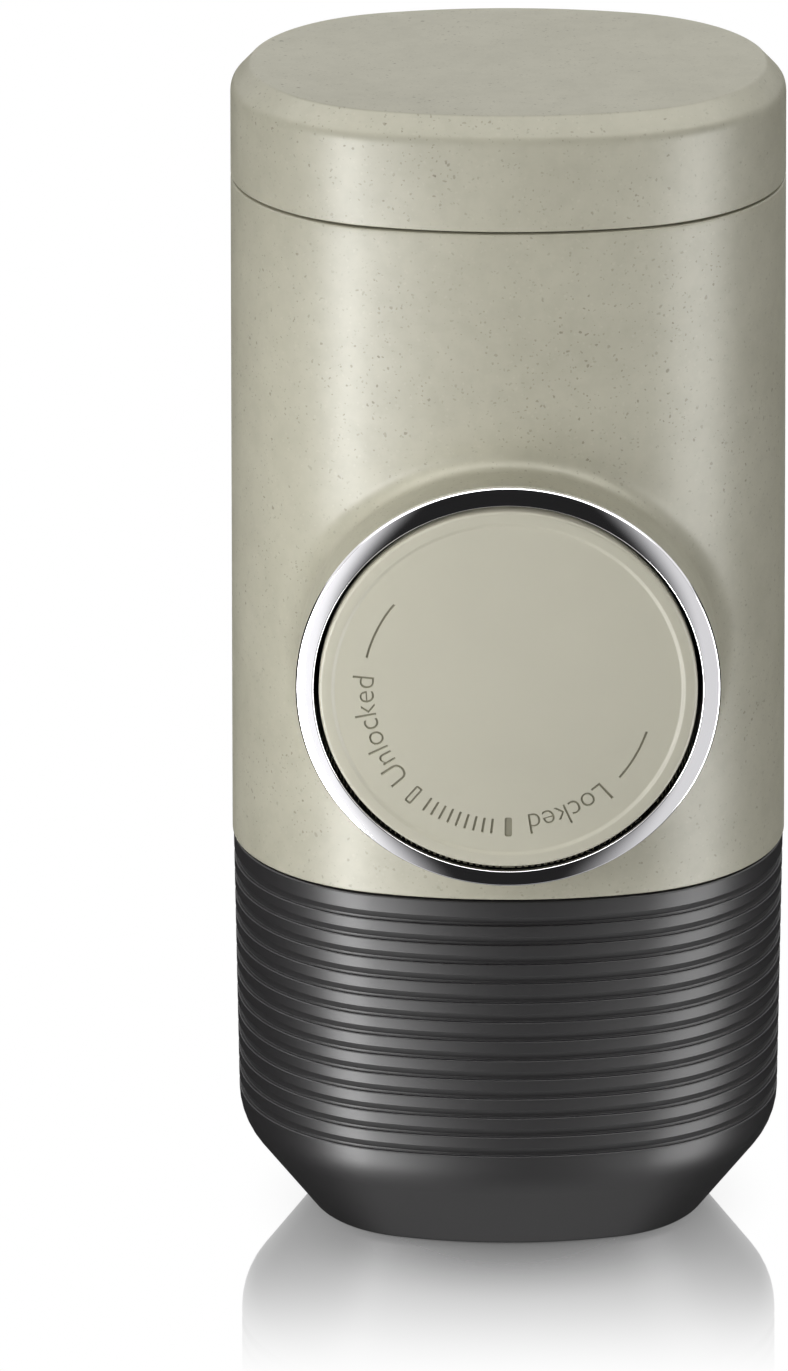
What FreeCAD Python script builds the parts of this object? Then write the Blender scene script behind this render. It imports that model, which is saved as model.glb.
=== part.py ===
import FreeCAD, Part
import math
import os
import re
import Sketcher

# Hand-held espresso maker, standing upright on its water tank.
# Millimetres, +Z up, the dial faces -Y, the ground is z = 0.
# Pieces of the pump are drawn lying down: their own Z runs from the dial face to the back wall.

doc = FreeCAD.newDocument("EspressoMaker")
sheet = doc.addObject("Spreadsheet::Sheet", "Dims")
Vector = FreeCAD.Vector
Rule = Sketcher.Constraint
UP = Vector(0, 0, 1)

values = [
    # outer oval shared by cup, body and tank; its depth follows from the chamber inside
    ("body_width", "71", "overall width"),
    ("side_radius", "38", "left and right walls"),
    ("corner_radius", "25", "four rounded corners"),
    ("front_radius", "64", "front and back walls"),
    ("body_draft", "0.45", "draft of the body and cup walls, narrower upward, degrees"),
    ("joint_gap", "0.3", "visible gap at each joint"),
    # clearances
    ("slide_fit", "0.35", "sliding pieces, each side"),
    ("seat_fit", "0.15", "faces that come to rest on each other"),
    ("bond_fit", "0.05", "glued, pressed and screwed pieces"),
    ("seal_fit", "0.06", "running seals, each side"),
    ("thread_fit", "0.6", "room for the thread of the tank"),
    ("cut_margin", "1", "how far a cut runs past its piece"),
    # body shell
    ("shell_wall", "2", "wall of the body"),
    ("dial_rise", "31.3", "centre of the dial above the tank joint"),
    ("dial_proud", "8", "dial face in front of the body"),
    ("deck_lift", "1.3", "inner deck above the collar"),
    ("deck_thickness", "2", "inner deck"),
    ("collar_radius", "26.4", "outside of the dial collar"),
    ("collar_wall", "2.25", "dial collar"),
    ("collar_end", "1.35", "front of the collar, behind the dial face"),
    ("well_clear", "0.8", "floor of the well, behind the skirt"),
    ("well_floor", "2", "thickness of the well floor"),
    ("window_gap", "0.7", "hole in the well floor, round the pump"),
    # bezel ring
    ("bezel_front", "0.1", "inner front edge, behind the dial face"),
    ("bezel_drop", "0.9", "fall from the inner to the outer edge"),
    ("bezel_crest", "1.2", "width of the flatter inner band"),
    ("spigot_wall", "1.05", "ring wall inside the collar"),
    ("spigot_length", "2.8", "ring inside the collar"),
    # button
    ("button_gap", "0.65", "between button and collar"),
    ("rim_width", "1.5", "raised rim of the button"),
    ("rim_slope", "0.6", "inner slope of the rim"),
    ("rim_edge", "0.4", "bevel of the rim"),
    ("button_plate", "2.2", "thickness of the button face"),
    ("button_dish", "0.35", "recess inside the rim"),
    ("skirt_wall", "1.5", "wall of the button skirt"),
    ("skirt_hold", "2.85", "skirt still inside the collar at full travel"),
    ("web_gap", "2.4", "web of the button, behind its face plate"),
    ("web_thickness", "1.5", "web of the button"),
    ("hub_wall", "4.15", "hub of the button"),
    ("hub_length", "1.9", "hub behind the web"),
    ("pump_stroke", "22", "travel of the button"),
    ("unlock_turn", "42", "turn that frees the button, degrees"),
    ("lug_count", "3", "lugs inside the skirt"),
    ("lug_setback", "2.7", "lugs in front of the skirt end"),
    ("lug_length", "2", "length of the lugs"),
    ("lug_rise", "1.9", "height of the lugs"),
    ("lug_span", "18", "width of one lug, degrees"),
    ("stop_margin", "1.5", "free angle at each stop, degrees"),
    ("stop_wall", "3", "radial width of the stop ring"),
    ("stop_base", "2.7", "base of the stop ring"),
    ("stop_lead", "1", "ribs of the stop ring, in front of the lugs"),
    # pump
    ("rod_radius", "3.5", "piston rod"),
    ("rod_gap", "0.8", "front of the rod, behind the face plate"),
    ("rod_groove", "0.25", "room in front of the retaining clip"),
    ("flange_rise", "3", "flange of the rod"),
    ("flange_length", "1.6", "flange of the rod"),
    ("clip_rise", "1.7", "retaining clip, above the rod"),
    ("clip_thickness", "0.7", "retaining clip"),
    ("clip_depth", "0.7", "groove for the clip"),
    ("bore_radius", "6.5", "pump bore"),
    ("cylinder_wall", "3", "pump cylinder"),
    ("gland_length", "3.5", "rod guide in the mouth of the cylinder"),
    ("gland_inset", "0.2", "rod guide, inside the mouth"),
    ("gland_gap", "1", "piston head short of the rod guide at full travel"),
    ("head_gap", "1", "piston head short of the cylinder end at rest"),
    ("head_length", "6", "piston head"),
    ("head_play", "0.4", "piston head inside the bore, each side"),
    ("seal_width", "1.4", "piston seals"),
    ("seal_depth", "1.1", "grooves of the piston seals"),
    ("seal_margin", "0.9", "seal grooves, from the ends of the head"),
    ("end_radius", "2.4", "rod end inside the piston head"),
    ("bolt_radius", "1.2", "screw that holds the piston head"),
    ("bolt_crown", "1.2", "head of that screw"),
    ("bolt_reach", "3", "its hole in the rod"),
    ("foot_width", "44", "foot plate of the pump"),
    ("foot_height", "30", "foot plate of the pump"),
    ("foot_thickness", "3", "foot plate of the pump"),
    ("gusset_length", "12", "gussets between cylinder and foot plate"),
    ("gusset_width", "2", "gussets between cylinder and foot plate"),
    ("gusset_margin", "2", "gussets, inside the edge of the foot plate"),
    ("gusset_edge", "1", "outer edge of the gussets"),
    ("root_overlap", "0.5", "how deep a rib is rooted"),
    ("screw_spread", "17.5", "housing screws, sideways from the pump axis"),
    ("screw_rise", "11", "housing screws, up from the pump axis"),
    ("screw_radius", "1.45", "shank of the housing screws"),
    ("screw_head", "2.9", "head of the housing screws"),
    ("screw_crown", "1.6", "head of the housing screws"),
    ("screw_gap", "2", "screw tip short of the boss end"),
    ("boss_radius", "3.4", "screw bosses on the back wall"),
    ("boss_length", "6.2", "screw bosses, into the back wall"),
    ("boss_end", "1.3", "solid end of the bosses"),
    ("valve_width", "18", "valve block"),
    ("valve_height", "34", "valve block"),
    ("valve_thickness", "7", "valve block"),
    ("valve_gap", "1.45", "valve block to the back wall"),
    ("valve_bore", "2.4", "valve chambers"),
    ("valve_reach", "13", "length of the valve chambers"),
    ("valve_foot", "2.5", "inlet valve above the block's lower face"),
    ("lip_flange", "1.6", "flange of the valves"),
    ("lip_length", "5", "flange and lip of the valves"),
    ("port_radius", "1.3", "water ports"),
    ("spring_radius", "14", "return spring, mean radius"),
    ("spring_wire", "0.8", "return spring, half the flat wire"),
    ("spring_turns", "5", "return spring"),
    ("spring_gap", "0.2", "return spring, at each end"),
    ("tube_radius", "2.6", "outside of the water tubes"),
    ("tube_bore", "1.5", "inside of the water tubes"),
    ("tube_gap", "1", "water tubes clear of deck and closure plate"),
    ("inlet_offset", "12", "water inlet behind the axis"),
    # brewing chamber
    ("chamber_bore", "15.3", "inside of the capsule chamber"),
    ("chamber_wall", "2", "wall and floor of the capsule chamber"),
    ("chamber_height", "30.8", "capsule chamber above the deck"),
    ("flange_recess", "18.7", "seat for the capsule flange"),
    ("recess_depth", "0.8", "seat for the capsule flange"),
    ("rim_wall", "1.5", "chamber rim round the capsule flange"),
    ("rim_length", "12", "threaded chamber rim"),
    ("gasket_inset", "0.6", "chamber gasket, outside the bore"),
    ("plate_thickness", "1.2", "piercing plate"),
    ("pin_radius", "1.3", "piercing pins"),
    ("pin_height", "3.6", "piercing pins"),
    ("pin_circle", "8", "piercing pins from the axis"),
    ("pin_count", "3", "piercing pins"),
    # outlet head
    ("outlet_wall", "1.95", "wall of the outlet head"),
    ("outlet_lap", "1", "outlet head, below the chamber rim"),
    ("outlet_roof", "2.4", "roof of the outlet head"),
    ("outlet_edge", "0.4", "bevel of the lower edge"),
    ("outlet_bevel", "1.2", "bevel of the upper edge"),
    ("disc_thickness", "1.4", "extraction plate"),
    ("disc_hole", "1.2", "holes in the extraction plate"),
    ("hole_count", "6", "holes in the extraction plate"),
    ("seal_height", "1.6", "gasket above the extraction plate"),
    ("seal_inset", "2", "that gasket, outside the chamber bore"),
    ("spout_radius", "5.6", "spout"),
    ("spout_bore", "3.2", "spout"),
    ("spout_length", "2.6", "spout above the outlet head"),
    ("spout_flare", "3", "foot of the spout"),
    ("spout_taper", "0.5", "tip of the spout"),
    ("flute_count", "12", "finger flutes"),
    ("flute_radius", "2.5", "finger flutes"),
    ("flute_depth", "0.7", "finger flutes"),
    ("flute_stop", "2", "lower end of the flutes"),
    # cup
    ("cup_height", "14.3", "cup above the joint"),
    ("cup_roof", "2.2", "roof of the cup"),
    ("edge_width", "2.5", "sloped top edge"),
    ("edge_drop", "2.65", "sloped top edge"),
    ("edge_blend", "1.5", "rounding of the top edge"),
    ("roof_gap", "0.75", "inner cup above the spout"),
    ("outlet_gap", "0.95", "inner cup round the outlet head"),
    ("liner_wall", "1.2", "wall and roof of the inner cup"),
    ("liner_reach", "21.7", "inner cup below the joint"),
    ("band_rise", "11", "sealing band above the edge of the inner cup"),
    ("band_width", "2", "sealing band"),
    ("band_depth", "0.6", "groove of the sealing band"),
    # tank
    ("parting_height", "51.8", "joint between body and tank"),
    ("tank_inset", "0.15", "step at the tank joint, each side"),
    ("tank_draft", "0.6", "draft of the tank walls, narrower downward, degrees"),
    ("base_rise", "12.9", "height of the sloped base"),
    ("base_inset", "9.6", "width of the sloped base"),
    ("base_blend", "15", "rounding between wall and sloped base"),
    ("base_edge", "1.8", "rounding of the bottom edge"),
    ("sleeve_wall", "1.9", "wall of the tank sleeve"),
    ("reservoir_wall", "1.4", "wall of the water reservoir"),
    ("groove_drop", "3.5", "first groove below the tank joint"),
    ("groove_rise", "4.2", "last groove above the sloped base"),
    ("groove_count", "13", "grooves round the tank"),
    ("groove_width", "0.9", "grooves round the tank"),
    ("groove_depth", "0.5", "grooves round the tank"),
    ("mouth_drop", "1.6", "tank mouth below the tank joint"),
    ("neck_gap", "1.1", "between tank neck and reservoir wall"),
    ("neck_wall", "1.2", "wall of the tank neck"),
    ("neck_length", "12", "tank neck below its mouth"),
    ("plug_wall", "2.2", "threaded plug that closes the tank"),
    ("plug_length", "11.1", "threaded plug that closes the tank"),
    ("closure_thickness", "4", "closure plate over the tank"),
    ("gasket_gap", "0.1", "tank gasket, outside the neck bore"),
    ("gasket_width", "1.9", "tank gasket"),
    ("strainer_radius", "4.5", "strainer at the water inlet"),
    ("strainer_height", "6.5", "strainer at the water inlet"),
    ("strainer_wall", "0.8", "strainer at the water inlet"),
    ("vent_radius", "1.1", "stem of the air valve"),
    ("vent_cap", "3", "cap of the air valve"),
    ("vent_crown", "1.2", "cap of the air valve"),
    ("vent_knob", "2", "knob of the air valve"),
    ("vent_offset", "11", "air valve beside the axis"),
]
for row, (alias, amount, note) in enumerate(values, start=1):
    sheet.set("A%d" % row, note)
    sheet.set("B%d" % row, amount)
    sheet.setAlias("B%d" % row, alias)
doc.recompute()
known = {alias for alias, amount, note in values}

# Places and sizes that follow from the sheet. Distances of the pump count from the dial face.
derived = {
    "rim_radius": "flange_recess + rim_wall",
    "outlet_radius": "rim_radius + slide_fit + outlet_wall",
    "cup_wall": "shell_wall + slide_fit - bond_fit",
    "body_depth": "2 * (outlet_radius + outlet_gap + liner_wall + bond_fit + cup_wall)",
    "dial_height": "parting_height + dial_rise",
    "deck_height": "dial_height + collar_radius + deck_lift",
    "rim_height": "deck_height + chamber_height",
    "disc_foot": "rim_height + seat_fit",
    "seal_foot": "disc_foot + disc_thickness + bond_fit",
    "outlet_bottom": "rim_height - rim_length - outlet_lap",
    "outlet_top": "seal_foot + seal_height + outlet_roof",
    "spout_top": "outlet_top + spout_length",
    "liner_top": "spout_top + roof_gap + liner_wall",
    "total_height": "liner_top + bond_fit + cup_roof",
    "seam_height": "total_height - cup_height",
    "liner_bottom": "seam_height - liner_reach",
    "band_foot": "liner_bottom + band_rise",
    "dial_front": "body_depth / 2 + dial_proud",
    "back_wall": "dial_front + body_depth / 2 - shell_wall",
    "well_radius": "collar_radius - collar_wall",
    "button_radius": "well_radius - button_gap",
    "skirt_inner": "button_radius - skirt_wall",
    "skirt_end": "collar_end + pump_stroke + skirt_hold",
    "well_depth": "skirt_end + well_clear",
    "lug_front": "skirt_end - lug_length - lug_setback",
    "web_front": "button_plate + web_gap",
    "web_back": "web_front + web_thickness",
    "hub_end": "web_back + hub_length",
    "hub_bore": "rod_radius + slide_fit",
    "hub_radius": "hub_bore + hub_wall",
    "flange_front": "hub_end + seat_fit",
    "cylinder_radius": "bore_radius + cylinder_wall",
    "cylinder_root": "back_wall - valve_gap - valve_thickness - bond_fit",
    "foot_front": "cylinder_root - foot_thickness",
    "head_front": "cylinder_root - head_gap - head_length",
    "head_outer": "bore_radius - head_play",
    "seal_bottom": "head_outer - seal_depth",
    "cylinder_mouth": "head_front - pump_stroke - gland_length - gland_gap",
    "valve_front": "dial_front - cylinder_root - bond_fit",
    "valve_line": "valve_thickness / 2 - (valve_front)",
    "valve_bottom": "dial_height - valve_height / 2",
    "valve_top": "dial_height + valve_height / 2",
    "chamber_foot": "deck_height + bond_fit",
    "plate_foot": "chamber_foot + chamber_wall + bond_fit",
    "closure_bottom": "parting_height + joint_gap",
    "closure_top": "closure_bottom + closure_thickness",
    "mouth_height": "parting_height - mouth_drop",
    "reservoir_inset": "sleeve_wall + bond_fit",
    "water_inset": "reservoir_inset + reservoir_wall",
    "neck_bore": "body_depth / 2 - tank_inset - water_inset - neck_gap - neck_wall",
    "plug_radius": "neck_bore - thread_fit",
    "groove_top": "parting_height - groove_drop",
    "groove_low": "base_rise + groove_rise",
    "groove_pitch": "(groove_top - groove_low) / (groove_count - 1)",
}


def bound(expression):
    """The same expression written with cells of the sheet alone."""

    def spell(match):
        word = match.group()
        if word in derived:
            return "(%s)" % bound(derived[word])
        return "Dims." + word if word in known else word

    return re.sub(r"[a-z]+(?:_[a-z]+)+", spell, expression)


def value(expression):
    return float(sheet.evalExpression(bound(expression)))


def follow(thing, path, expression):
    thing.setExpression(path, bound(expression))


def new_body(name):
    return doc.addObject("PartDesign::Body", name)


def lay_down(body, sideways="0", rise="0"):
    """Turns the body so that its Z runs along the pump, starting at the dial face."""
    body.Placement = FreeCAD.Placement(Vector(0, 0, 0), FreeCAD.Rotation(Vector(1, 0, 0), -90))
    follow(body, ".Placement.Base.x", sideways)
    follow(body, ".Placement.Base.y", "-dial_front")
    follow(body, ".Placement.Base.z", "dial_height + (%s)" % rise)


def new_sketch(body, plane, offset="0"):
    sketch = body.newObject("Sketcher::SketchObject", body.Name + "_outline")
    support = [part for part in body.Origin.OriginFeatures if part.Role == plane][0]
    sketch.AttachmentSupport = [(support, "")]
    sketch.MapMode = "FlatFace"
    follow(sketch, ".AttachmentOffset.Base.z", offset)
    return sketch


def dimension(sketch, kind, places, expression):
    index = sketch.addConstraint(Rule(kind, *places, value(expression)))
    sketch.setExpression("Constraints[%d]" % index, bound(expression))


def pin_point(sketch, geometry, corner, across, along):
    """Fixes a point by its two distances from the origin; "0" puts it on an axis."""
    for expression, kind, axis in ((across, "DistanceX", -2), (along, "DistanceY", -1)):
        if expression == "0":
            sketch.addConstraint(Rule("PointOnObject", geometry, corner, axis))
        elif expression.startswith("-"):
            dimension(sketch, kind, (geometry, corner, -1, 1), expression[1:])
        else:
            dimension(sketch, kind, (-1, 1, geometry, corner), expression)


def signed(expression):
    return -value(expression[1:]) if expression.startswith("-") else value(expression)


def draw_polygon(sketch, points):
    """Closed outline; each point is a pair of expressions, where a leading minus mirrors the whole one."""
    spots = [Vector(signed(across), signed(along), 0) for across, along in points]
    lines = []
    for start, end in zip(spots, spots[1:] + spots[:1]):
        lines.append(sketch.addGeometry(Part.LineSegment(start, end), False))
    for line, following in zip(lines, lines[1:] + lines[:1]):
        sketch.addConstraint(Rule("Coincident", line, 2, following, 1))
    for line, (across, along) in zip(lines, points):
        pin_point(sketch, line, 1, across, along)


def draw_circle(sketch, radius, across="0", along="0"):
    centre = Vector(signed(across), signed(along), 0)
    ring = sketch.addGeometry(Part.Circle(centre, UP, value(radius)), False)
    dimension(sketch, "Radius", (ring,), radius)
    if across == "0" and along == "0":
        sketch.addConstraint(Rule("Coincident", ring, 3, -1, 1))
    else:
        pin_point(sketch, ring, 3, across, along)


def draw_oval(sketch, inset="0"):
    """Eight tangent arcs; every inset gives a parallel outline."""
    shrink = value(inset)
    side, corner, front = (value(name) for name in ("side_radius", "corner_radius", "front_radius"))
    side_shift = value("side_radius - body_width / 2")
    front_shift = value("front_radius - body_depth / 2")
    span = math.hypot(side_shift, front_shift)
    near, far = side - corner, front - corner
    lift = math.acos((near**2 + span**2 - far**2) / (2 * near * span))
    lean = math.atan2(-front_shift, side_shift) + lift
    x = near * math.cos(lean) - side_shift
    y = near * math.sin(lean)
    first = math.atan2(y, x + side_shift)
    second = math.atan2(y + front_shift, x)
    half = math.pi
    arcs = []
    for across, along, radius, start, end in (
        (-side_shift, 0, side, -first, first),
        (x, y, corner, first, second),
        (0, -front_shift, front, second, half - second),
        (-x, y, corner, half - second, half - first),
        (side_shift, 0, side, half - first, half + first),
        (-x, -y, corner, half + first, half + second),
        (0, front_shift, front, half + second, 2 * half - second),
        (x, -y, corner, 2 * half - second, 2 * half - first),
    ):
        circle = Part.Circle(Vector(across, along, 0), UP, radius - shrink)
        arcs.append(sketch.addGeometry(Part.ArcOfCircle(circle, start, end), False))
    for arc, following in zip(arcs, arcs[1:] + arcs[:1]):
        sketch.addConstraint(Rule("Tangent", arc, 2, following, 1))
    for index, axis in ((0, -1), (4, -1), (2, -2), (6, -2)):
        sketch.addConstraint(Rule("PointOnObject", arcs[index], 3, axis))
    for index, radius, twins in (
        (0, "side_radius", (4,)),
        (2, "front_radius", (6,)),
        (1, "corner_radius", (3, 5, 7)),
    ):
        dimension(sketch, "Radius", (arcs[index],), "%s - (%s)" % (radius, inset))
        for twin in twins:
            sketch.addConstraint(Rule("Equal", arcs[index], arcs[twin]))
    dimension(sketch, "DistanceX", (arcs[0], 3, -1, 1), "side_radius - body_width / 2")
    dimension(sketch, "DistanceX", (-1, 1, arcs[4], 3), "side_radius - body_width / 2")
    dimension(sketch, "DistanceY", (arcs[2], 3, -1, 1), "front_radius - body_depth / 2")
    dimension(sketch, "DistanceY", (-1, 1, arcs[6], 3), "front_radius - body_depth / 2")


def draw_sector(sketch, inner, outer, start, end):
    """Part of a ring between two angles in degrees."""
    from_angle, to_angle = math.radians(value(start)), math.radians(value(end))
    corners = []
    for radius, angle in ((inner, from_angle), (outer, from_angle), (outer, to_angle), (inner, to_angle)):
        corners.append(Vector(value(radius) * math.cos(angle), value(radius) * math.sin(angle), 0))
    outside = Part.ArcOfCircle(Part.Circle(Vector(0, 0, 0), UP, value(outer)), from_angle, to_angle)
    inside = Part.ArcOfCircle(Part.Circle(Vector(0, 0, 0), UP, value(inner)), from_angle, to_angle)
    first = sketch.addGeometry(Part.LineSegment(corners[0], corners[1]), False)
    wide = sketch.addGeometry(outside, False)
    last = sketch.addGeometry(Part.LineSegment(corners[3], corners[2]), False)
    tight = sketch.addGeometry(inside, False)
    for line, tip in ((first, 1), (last, 2)):
        sketch.addConstraint(Rule("Coincident", line, 2, wide, tip))
        sketch.addConstraint(Rule("Coincident", line, 1, tight, tip))
    for arc, radius in ((wide, outer), (tight, inner)):
        sketch.addConstraint(Rule("Coincident", arc, 3, -1, 1))
        dimension(sketch, "Radius", (arc,), radius)
    for line, angle in ((first, start), (last, end)):
        sketch.addConstraint(Rule("PointOnObject", -1, 1, line))
        index = sketch.addConstraint(Rule("Angle", line, math.radians(value(angle))))
        sketch.setExpression("Constraints[%d]" % index, "(%s) * 1 deg" % bound(angle))


def add(body, sketch, length, forward=True, taper="0"):
    pad = body.newObject("PartDesign::Pad", body.Name + "_pad")
    pad.Profile = sketch
    pad.Reversed = not forward
    follow(pad, "Length", length)
    if taper != "0":
        follow(pad, "TaperAngle", taper)
    body.Tip = pad
    return pad


def cut(body, sketch, length, forward=False):
    """Removes material; forward is along the normal of the sketch."""
    pocket = body.newObject("PartDesign::Pocket", body.Name + "_pocket")
    pocket.Profile = sketch
    pocket.Reversed = forward
    follow(pocket, "Length", length)
    body.Tip = pocket
    return pocket


def turn(body, points, offset="0"):
    """Full turn round the own Z axis of an outline of (radius, height) pairs."""
    sketch = new_sketch(body, "XZ_Plane", offset)
    draw_polygon(sketch, points)
    revolution = body.newObject("PartDesign::Revolution", body.Name + "_turned")
    revolution.Profile = sketch
    revolution.ReferenceAxis = (sketch, ["V_Axis"])
    revolution.Angle = 360
    body.Tip = revolution
    return revolution


def turned(name, points, lying=False):
    body = new_body(name)
    turn(body, points)
    if lying:
        lay_down(body)
    return body


def tube_points(inner, outer, start, end):
    return [(inner, start), (outer, start), (outer, end), (inner, end)]


def repeat_round(body, feature, count):
    pattern = body.newObject("PartDesign::PolarPattern", body.Name + "_round")
    pattern.Originals = [feature]
    pattern.Axis = (feature.Profile[0], ["N_Axis"])
    pattern.Angle = 360
    follow(pattern, "Occurrences", count)
    body.Tip = pattern
    return pattern


def edges_where(feature, test):
    doc.recompute()
    return ["Edge%d" % (i + 1) for i, edge in enumerate(feature.Shape.Edges) if test(edge.BoundBox)]


def level_edges(feature, height):
    """Edges that lie flat at one height."""
    level = value(height)
    return edges_where(feature, lambda box: abs(box.ZMax - level) < 0.01 and abs(box.ZMin - level) < 0.01)


def bevel(body, feature, edges, first, second):
    chamfer = body.newObject("PartDesign::Chamfer", body.Name + "_slope")
    chamfer.Base = (feature, edges)
    chamfer.ChamferType = 1
    follow(chamfer, "Size", first)
    follow(chamfer, "Size2", second)
    body.Tip = chamfer
    return chamfer


def soften(body, feature, edges, radius):
    fillet = body.newObject("PartDesign::Fillet", body.Name + "_blend")
    fillet.Base = (feature, edges)
    follow(fillet, "Radius", radius)
    body.Tip = fillet
    return fillet


def combine(kind, name, base, others):
    joined = doc.addObject(kind, name)
    if kind == "Part::Cut":
        joined.Base = base
        joined.Tool = others
    elif kind == "Part::Compound":
        joined.Links = [base] + others
    else:
        joined.Shapes = [base] + others
    return joined


pieces = {}

# Body shell: oval tube with an inner deck, the dial collar with its well, and the pump bosses.
shell = pieces["body_shell"] = new_body("body_shell")
outline = new_sketch(shell, "XY_Plane", "parting_height + joint_gap / 2")
draw_oval(outline)
add(shell, outline, "seam_height - parting_height - joint_gap", taper="-body_draft")
outline = new_sketch(shell, "XY_Plane", "seam_height - joint_gap / 2")
draw_oval(outline, "shell_wall")
cut(shell, outline, "seam_height - joint_gap / 2 - deck_height")
outline = new_sketch(shell, "XY_Plane", "parting_height + joint_gap / 2")
draw_oval(outline, "shell_wall")
cut(shell, outline, "deck_height - deck_thickness - parting_height - joint_gap / 2", forward=True)
outline = new_sketch(shell, "XZ_Plane", "dial_front - collar_end")
draw_circle(outline, "collar_radius", "0", "dial_height")
add(shell, outline, "well_depth + well_floor - collar_end", forward=False)
outline = new_sketch(shell, "XZ_Plane", "valve_front")
for across in ("-screw_spread", "screw_spread"):
    for along in ("dial_height - screw_rise", "dial_height + screw_rise"):
        draw_circle(outline, "boss_radius", across, along)
add(shell, outline, "boss_length", forward=False)
outline = new_sketch(shell, "XZ_Plane", "valve_front")
for across in ("-screw_spread", "screw_spread"):
    for along in ("dial_height - screw_rise", "dial_height + screw_rise"):
        draw_circle(outline, "screw_radius + bond_fit", across, along)
cut(shell, outline, "boss_length - boss_end", forward=False)
for radius, depth in (
    ("well_radius", "well_depth"),
    ("well_radius + spigot_wall + bond_fit", "collar_end + spigot_length"),
    ("cylinder_radius + window_gap", "well_depth + well_floor + cut_margin"),
):
    outline = new_sketch(shell, "XZ_Plane", "dial_front")
    draw_circle(outline, radius, "0", "dial_height")
    cut(shell, outline, depth, forward=False)
outline = new_sketch(shell, "XY_Plane", "deck_height")
draw_circle(outline, "tube_radius + slide_fit")
cut(shell, outline, "deck_thickness")

# Bezel ring, pressed into the end of the collar.
pieces["bezel_ring"] = turned(
    "bezel_ring",
    [
        ("well_radius", "bezel_front"),
        ("well_radius + bezel_crest", "bezel_front + bezel_drop * 0.25"),
        ("collar_radius", "bezel_front + bezel_drop"),
        ("collar_radius", "collar_end - bond_fit"),
        ("well_radius + spigot_wall", "collar_end - bond_fit"),
        ("well_radius + spigot_wall", "collar_end + spigot_length - bond_fit"),
        ("well_radius", "collar_end + spigot_length - bond_fit"),
    ],
    lying=True,
)

# Stop ring on the well floor: its ribs end the turn of the button at both ends.
stop = pieces["stop_ring"] = new_body("stop_ring")
stop_outer = "skirt_inner - slide_fit"
turn(
    stop,
    tube_points(
        "skirt_inner - lug_rise - stop_wall",
        stop_outer,
        "well_depth - bond_fit - stop_base",
        "well_depth - bond_fit",
    ),
)
outline = new_sketch(stop, "XY_Plane", "lug_front - stop_lead")
draw_sector(
    outline,
    "skirt_inner - lug_rise - stop_wall / 3",
    stop_outer,
    "90 + lug_span / 2 + stop_margin",
    "90 + 360 / lug_count - lug_span / 2 - unlock_turn - stop_margin",
)
rib = add(stop, outline, "well_depth - stop_base / 2 - lug_front + stop_lead")
repeat_round(stop, rib, "lug_count")
lay_down(stop)

# Pump block: cylinder, foot plate and gussets.
pump = pieces["pump_block"] = new_body("pump_block")
turn(pump, tube_points("bore_radius", "cylinder_radius", "cylinder_mouth", "cylinder_root"))
outline = new_sketch(pump, "XY_Plane", "cylinder_root")
draw_polygon(
    outline,
    [
        ("-foot_width / 2", "-foot_height / 2"),
        ("foot_width / 2", "-foot_height / 2"),
        ("foot_width / 2", "foot_height / 2"),
        ("-foot_width / 2", "foot_height / 2"),
    ],
)
draw_circle(outline, "bore_radius")
add(pump, outline, "foot_thickness", forward=False)
outline = new_sketch(pump, "XY_Plane", "cylinder_root")
for across in ("-screw_spread", "screw_spread"):
    for along in ("-screw_rise", "screw_rise"):
        draw_circle(outline, "screw_radius + bond_fit", across, along)
cut(pump, outline, "foot_thickness")
outline = new_sketch(pump, "XZ_Plane", "-gusset_width / 2")
draw_polygon(
    outline,
    [
        ("cylinder_radius - root_overlap", "foot_front + root_overlap"),
        ("cylinder_radius - root_overlap", "foot_front - gusset_length"),
        ("cylinder_radius + gusset_edge", "foot_front - gusset_length"),
        ("foot_width / 2 - gusset_margin", "foot_front - gusset_edge"),
        ("foot_width / 2 - gusset_margin", "foot_front + root_overlap"),
    ],
)
gusset = add(pump, outline, "gusset_width")
opposite = pump.newObject("PartDesign::PolarPattern", "pump_block_pair")
opposite.Originals = [gusset]
opposite.Axis = (outline, ["V_Axis"])
opposite.Angle = 360
opposite.Occurrences = 2
pump.Tip = opposite
lay_down(pump)

# Valve block behind the cylinder, with one chamber below and one above.
valve = pieces["valve_block"] = new_body("valve_block")
outline = new_sketch(valve, "XZ_Plane", "valve_front")
draw_polygon(
    outline,
    [
        ("-valve_width / 2", "valve_bottom"),
        ("valve_width / 2", "valve_bottom"),
        ("valve_width / 2", "valve_top"),
        ("-valve_width / 2", "valve_top"),
    ],
)
add(valve, outline, "valve_thickness", forward=False)
outline = new_sketch(valve, "XZ_Plane", "valve_front")
draw_circle(outline, "port_radius", "0", "dial_height")
cut(valve, outline, "valve_thickness / 2", forward=False)
for level, forward in (("valve_bottom", True), ("valve_top", False)):
    for radius, reach in (("valve_bore", "valve_reach"), ("port_radius", "valve_height / 2")):
        outline = new_sketch(valve, "XY_Plane", level)
        draw_circle(outline, radius, "0", "valve_line")
        cut(valve, outline, reach, forward=forward)

# One-way valves: a flange with a lip that points along the flow.
for name, foot in (
    ("inlet_valve", "valve_bottom + valve_foot"),
    ("outlet_valve", "valve_top - valve_reach + bond_fit"),
):
    duckbill = pieces[name] = turned(
        name,
        [
            ("port_radius * 0.6", foot),
            ("valve_bore - bond_fit", foot),
            ("valve_bore - bond_fit", foot + " + lip_flange"),
            ("valve_bore * 0.5", foot + " + lip_length"),
            ("port_radius * 0.6", foot + " + lip_length"),
        ],
    )
    follow(duckbill, ".Placement.Base.y", "valve_line")

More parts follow.
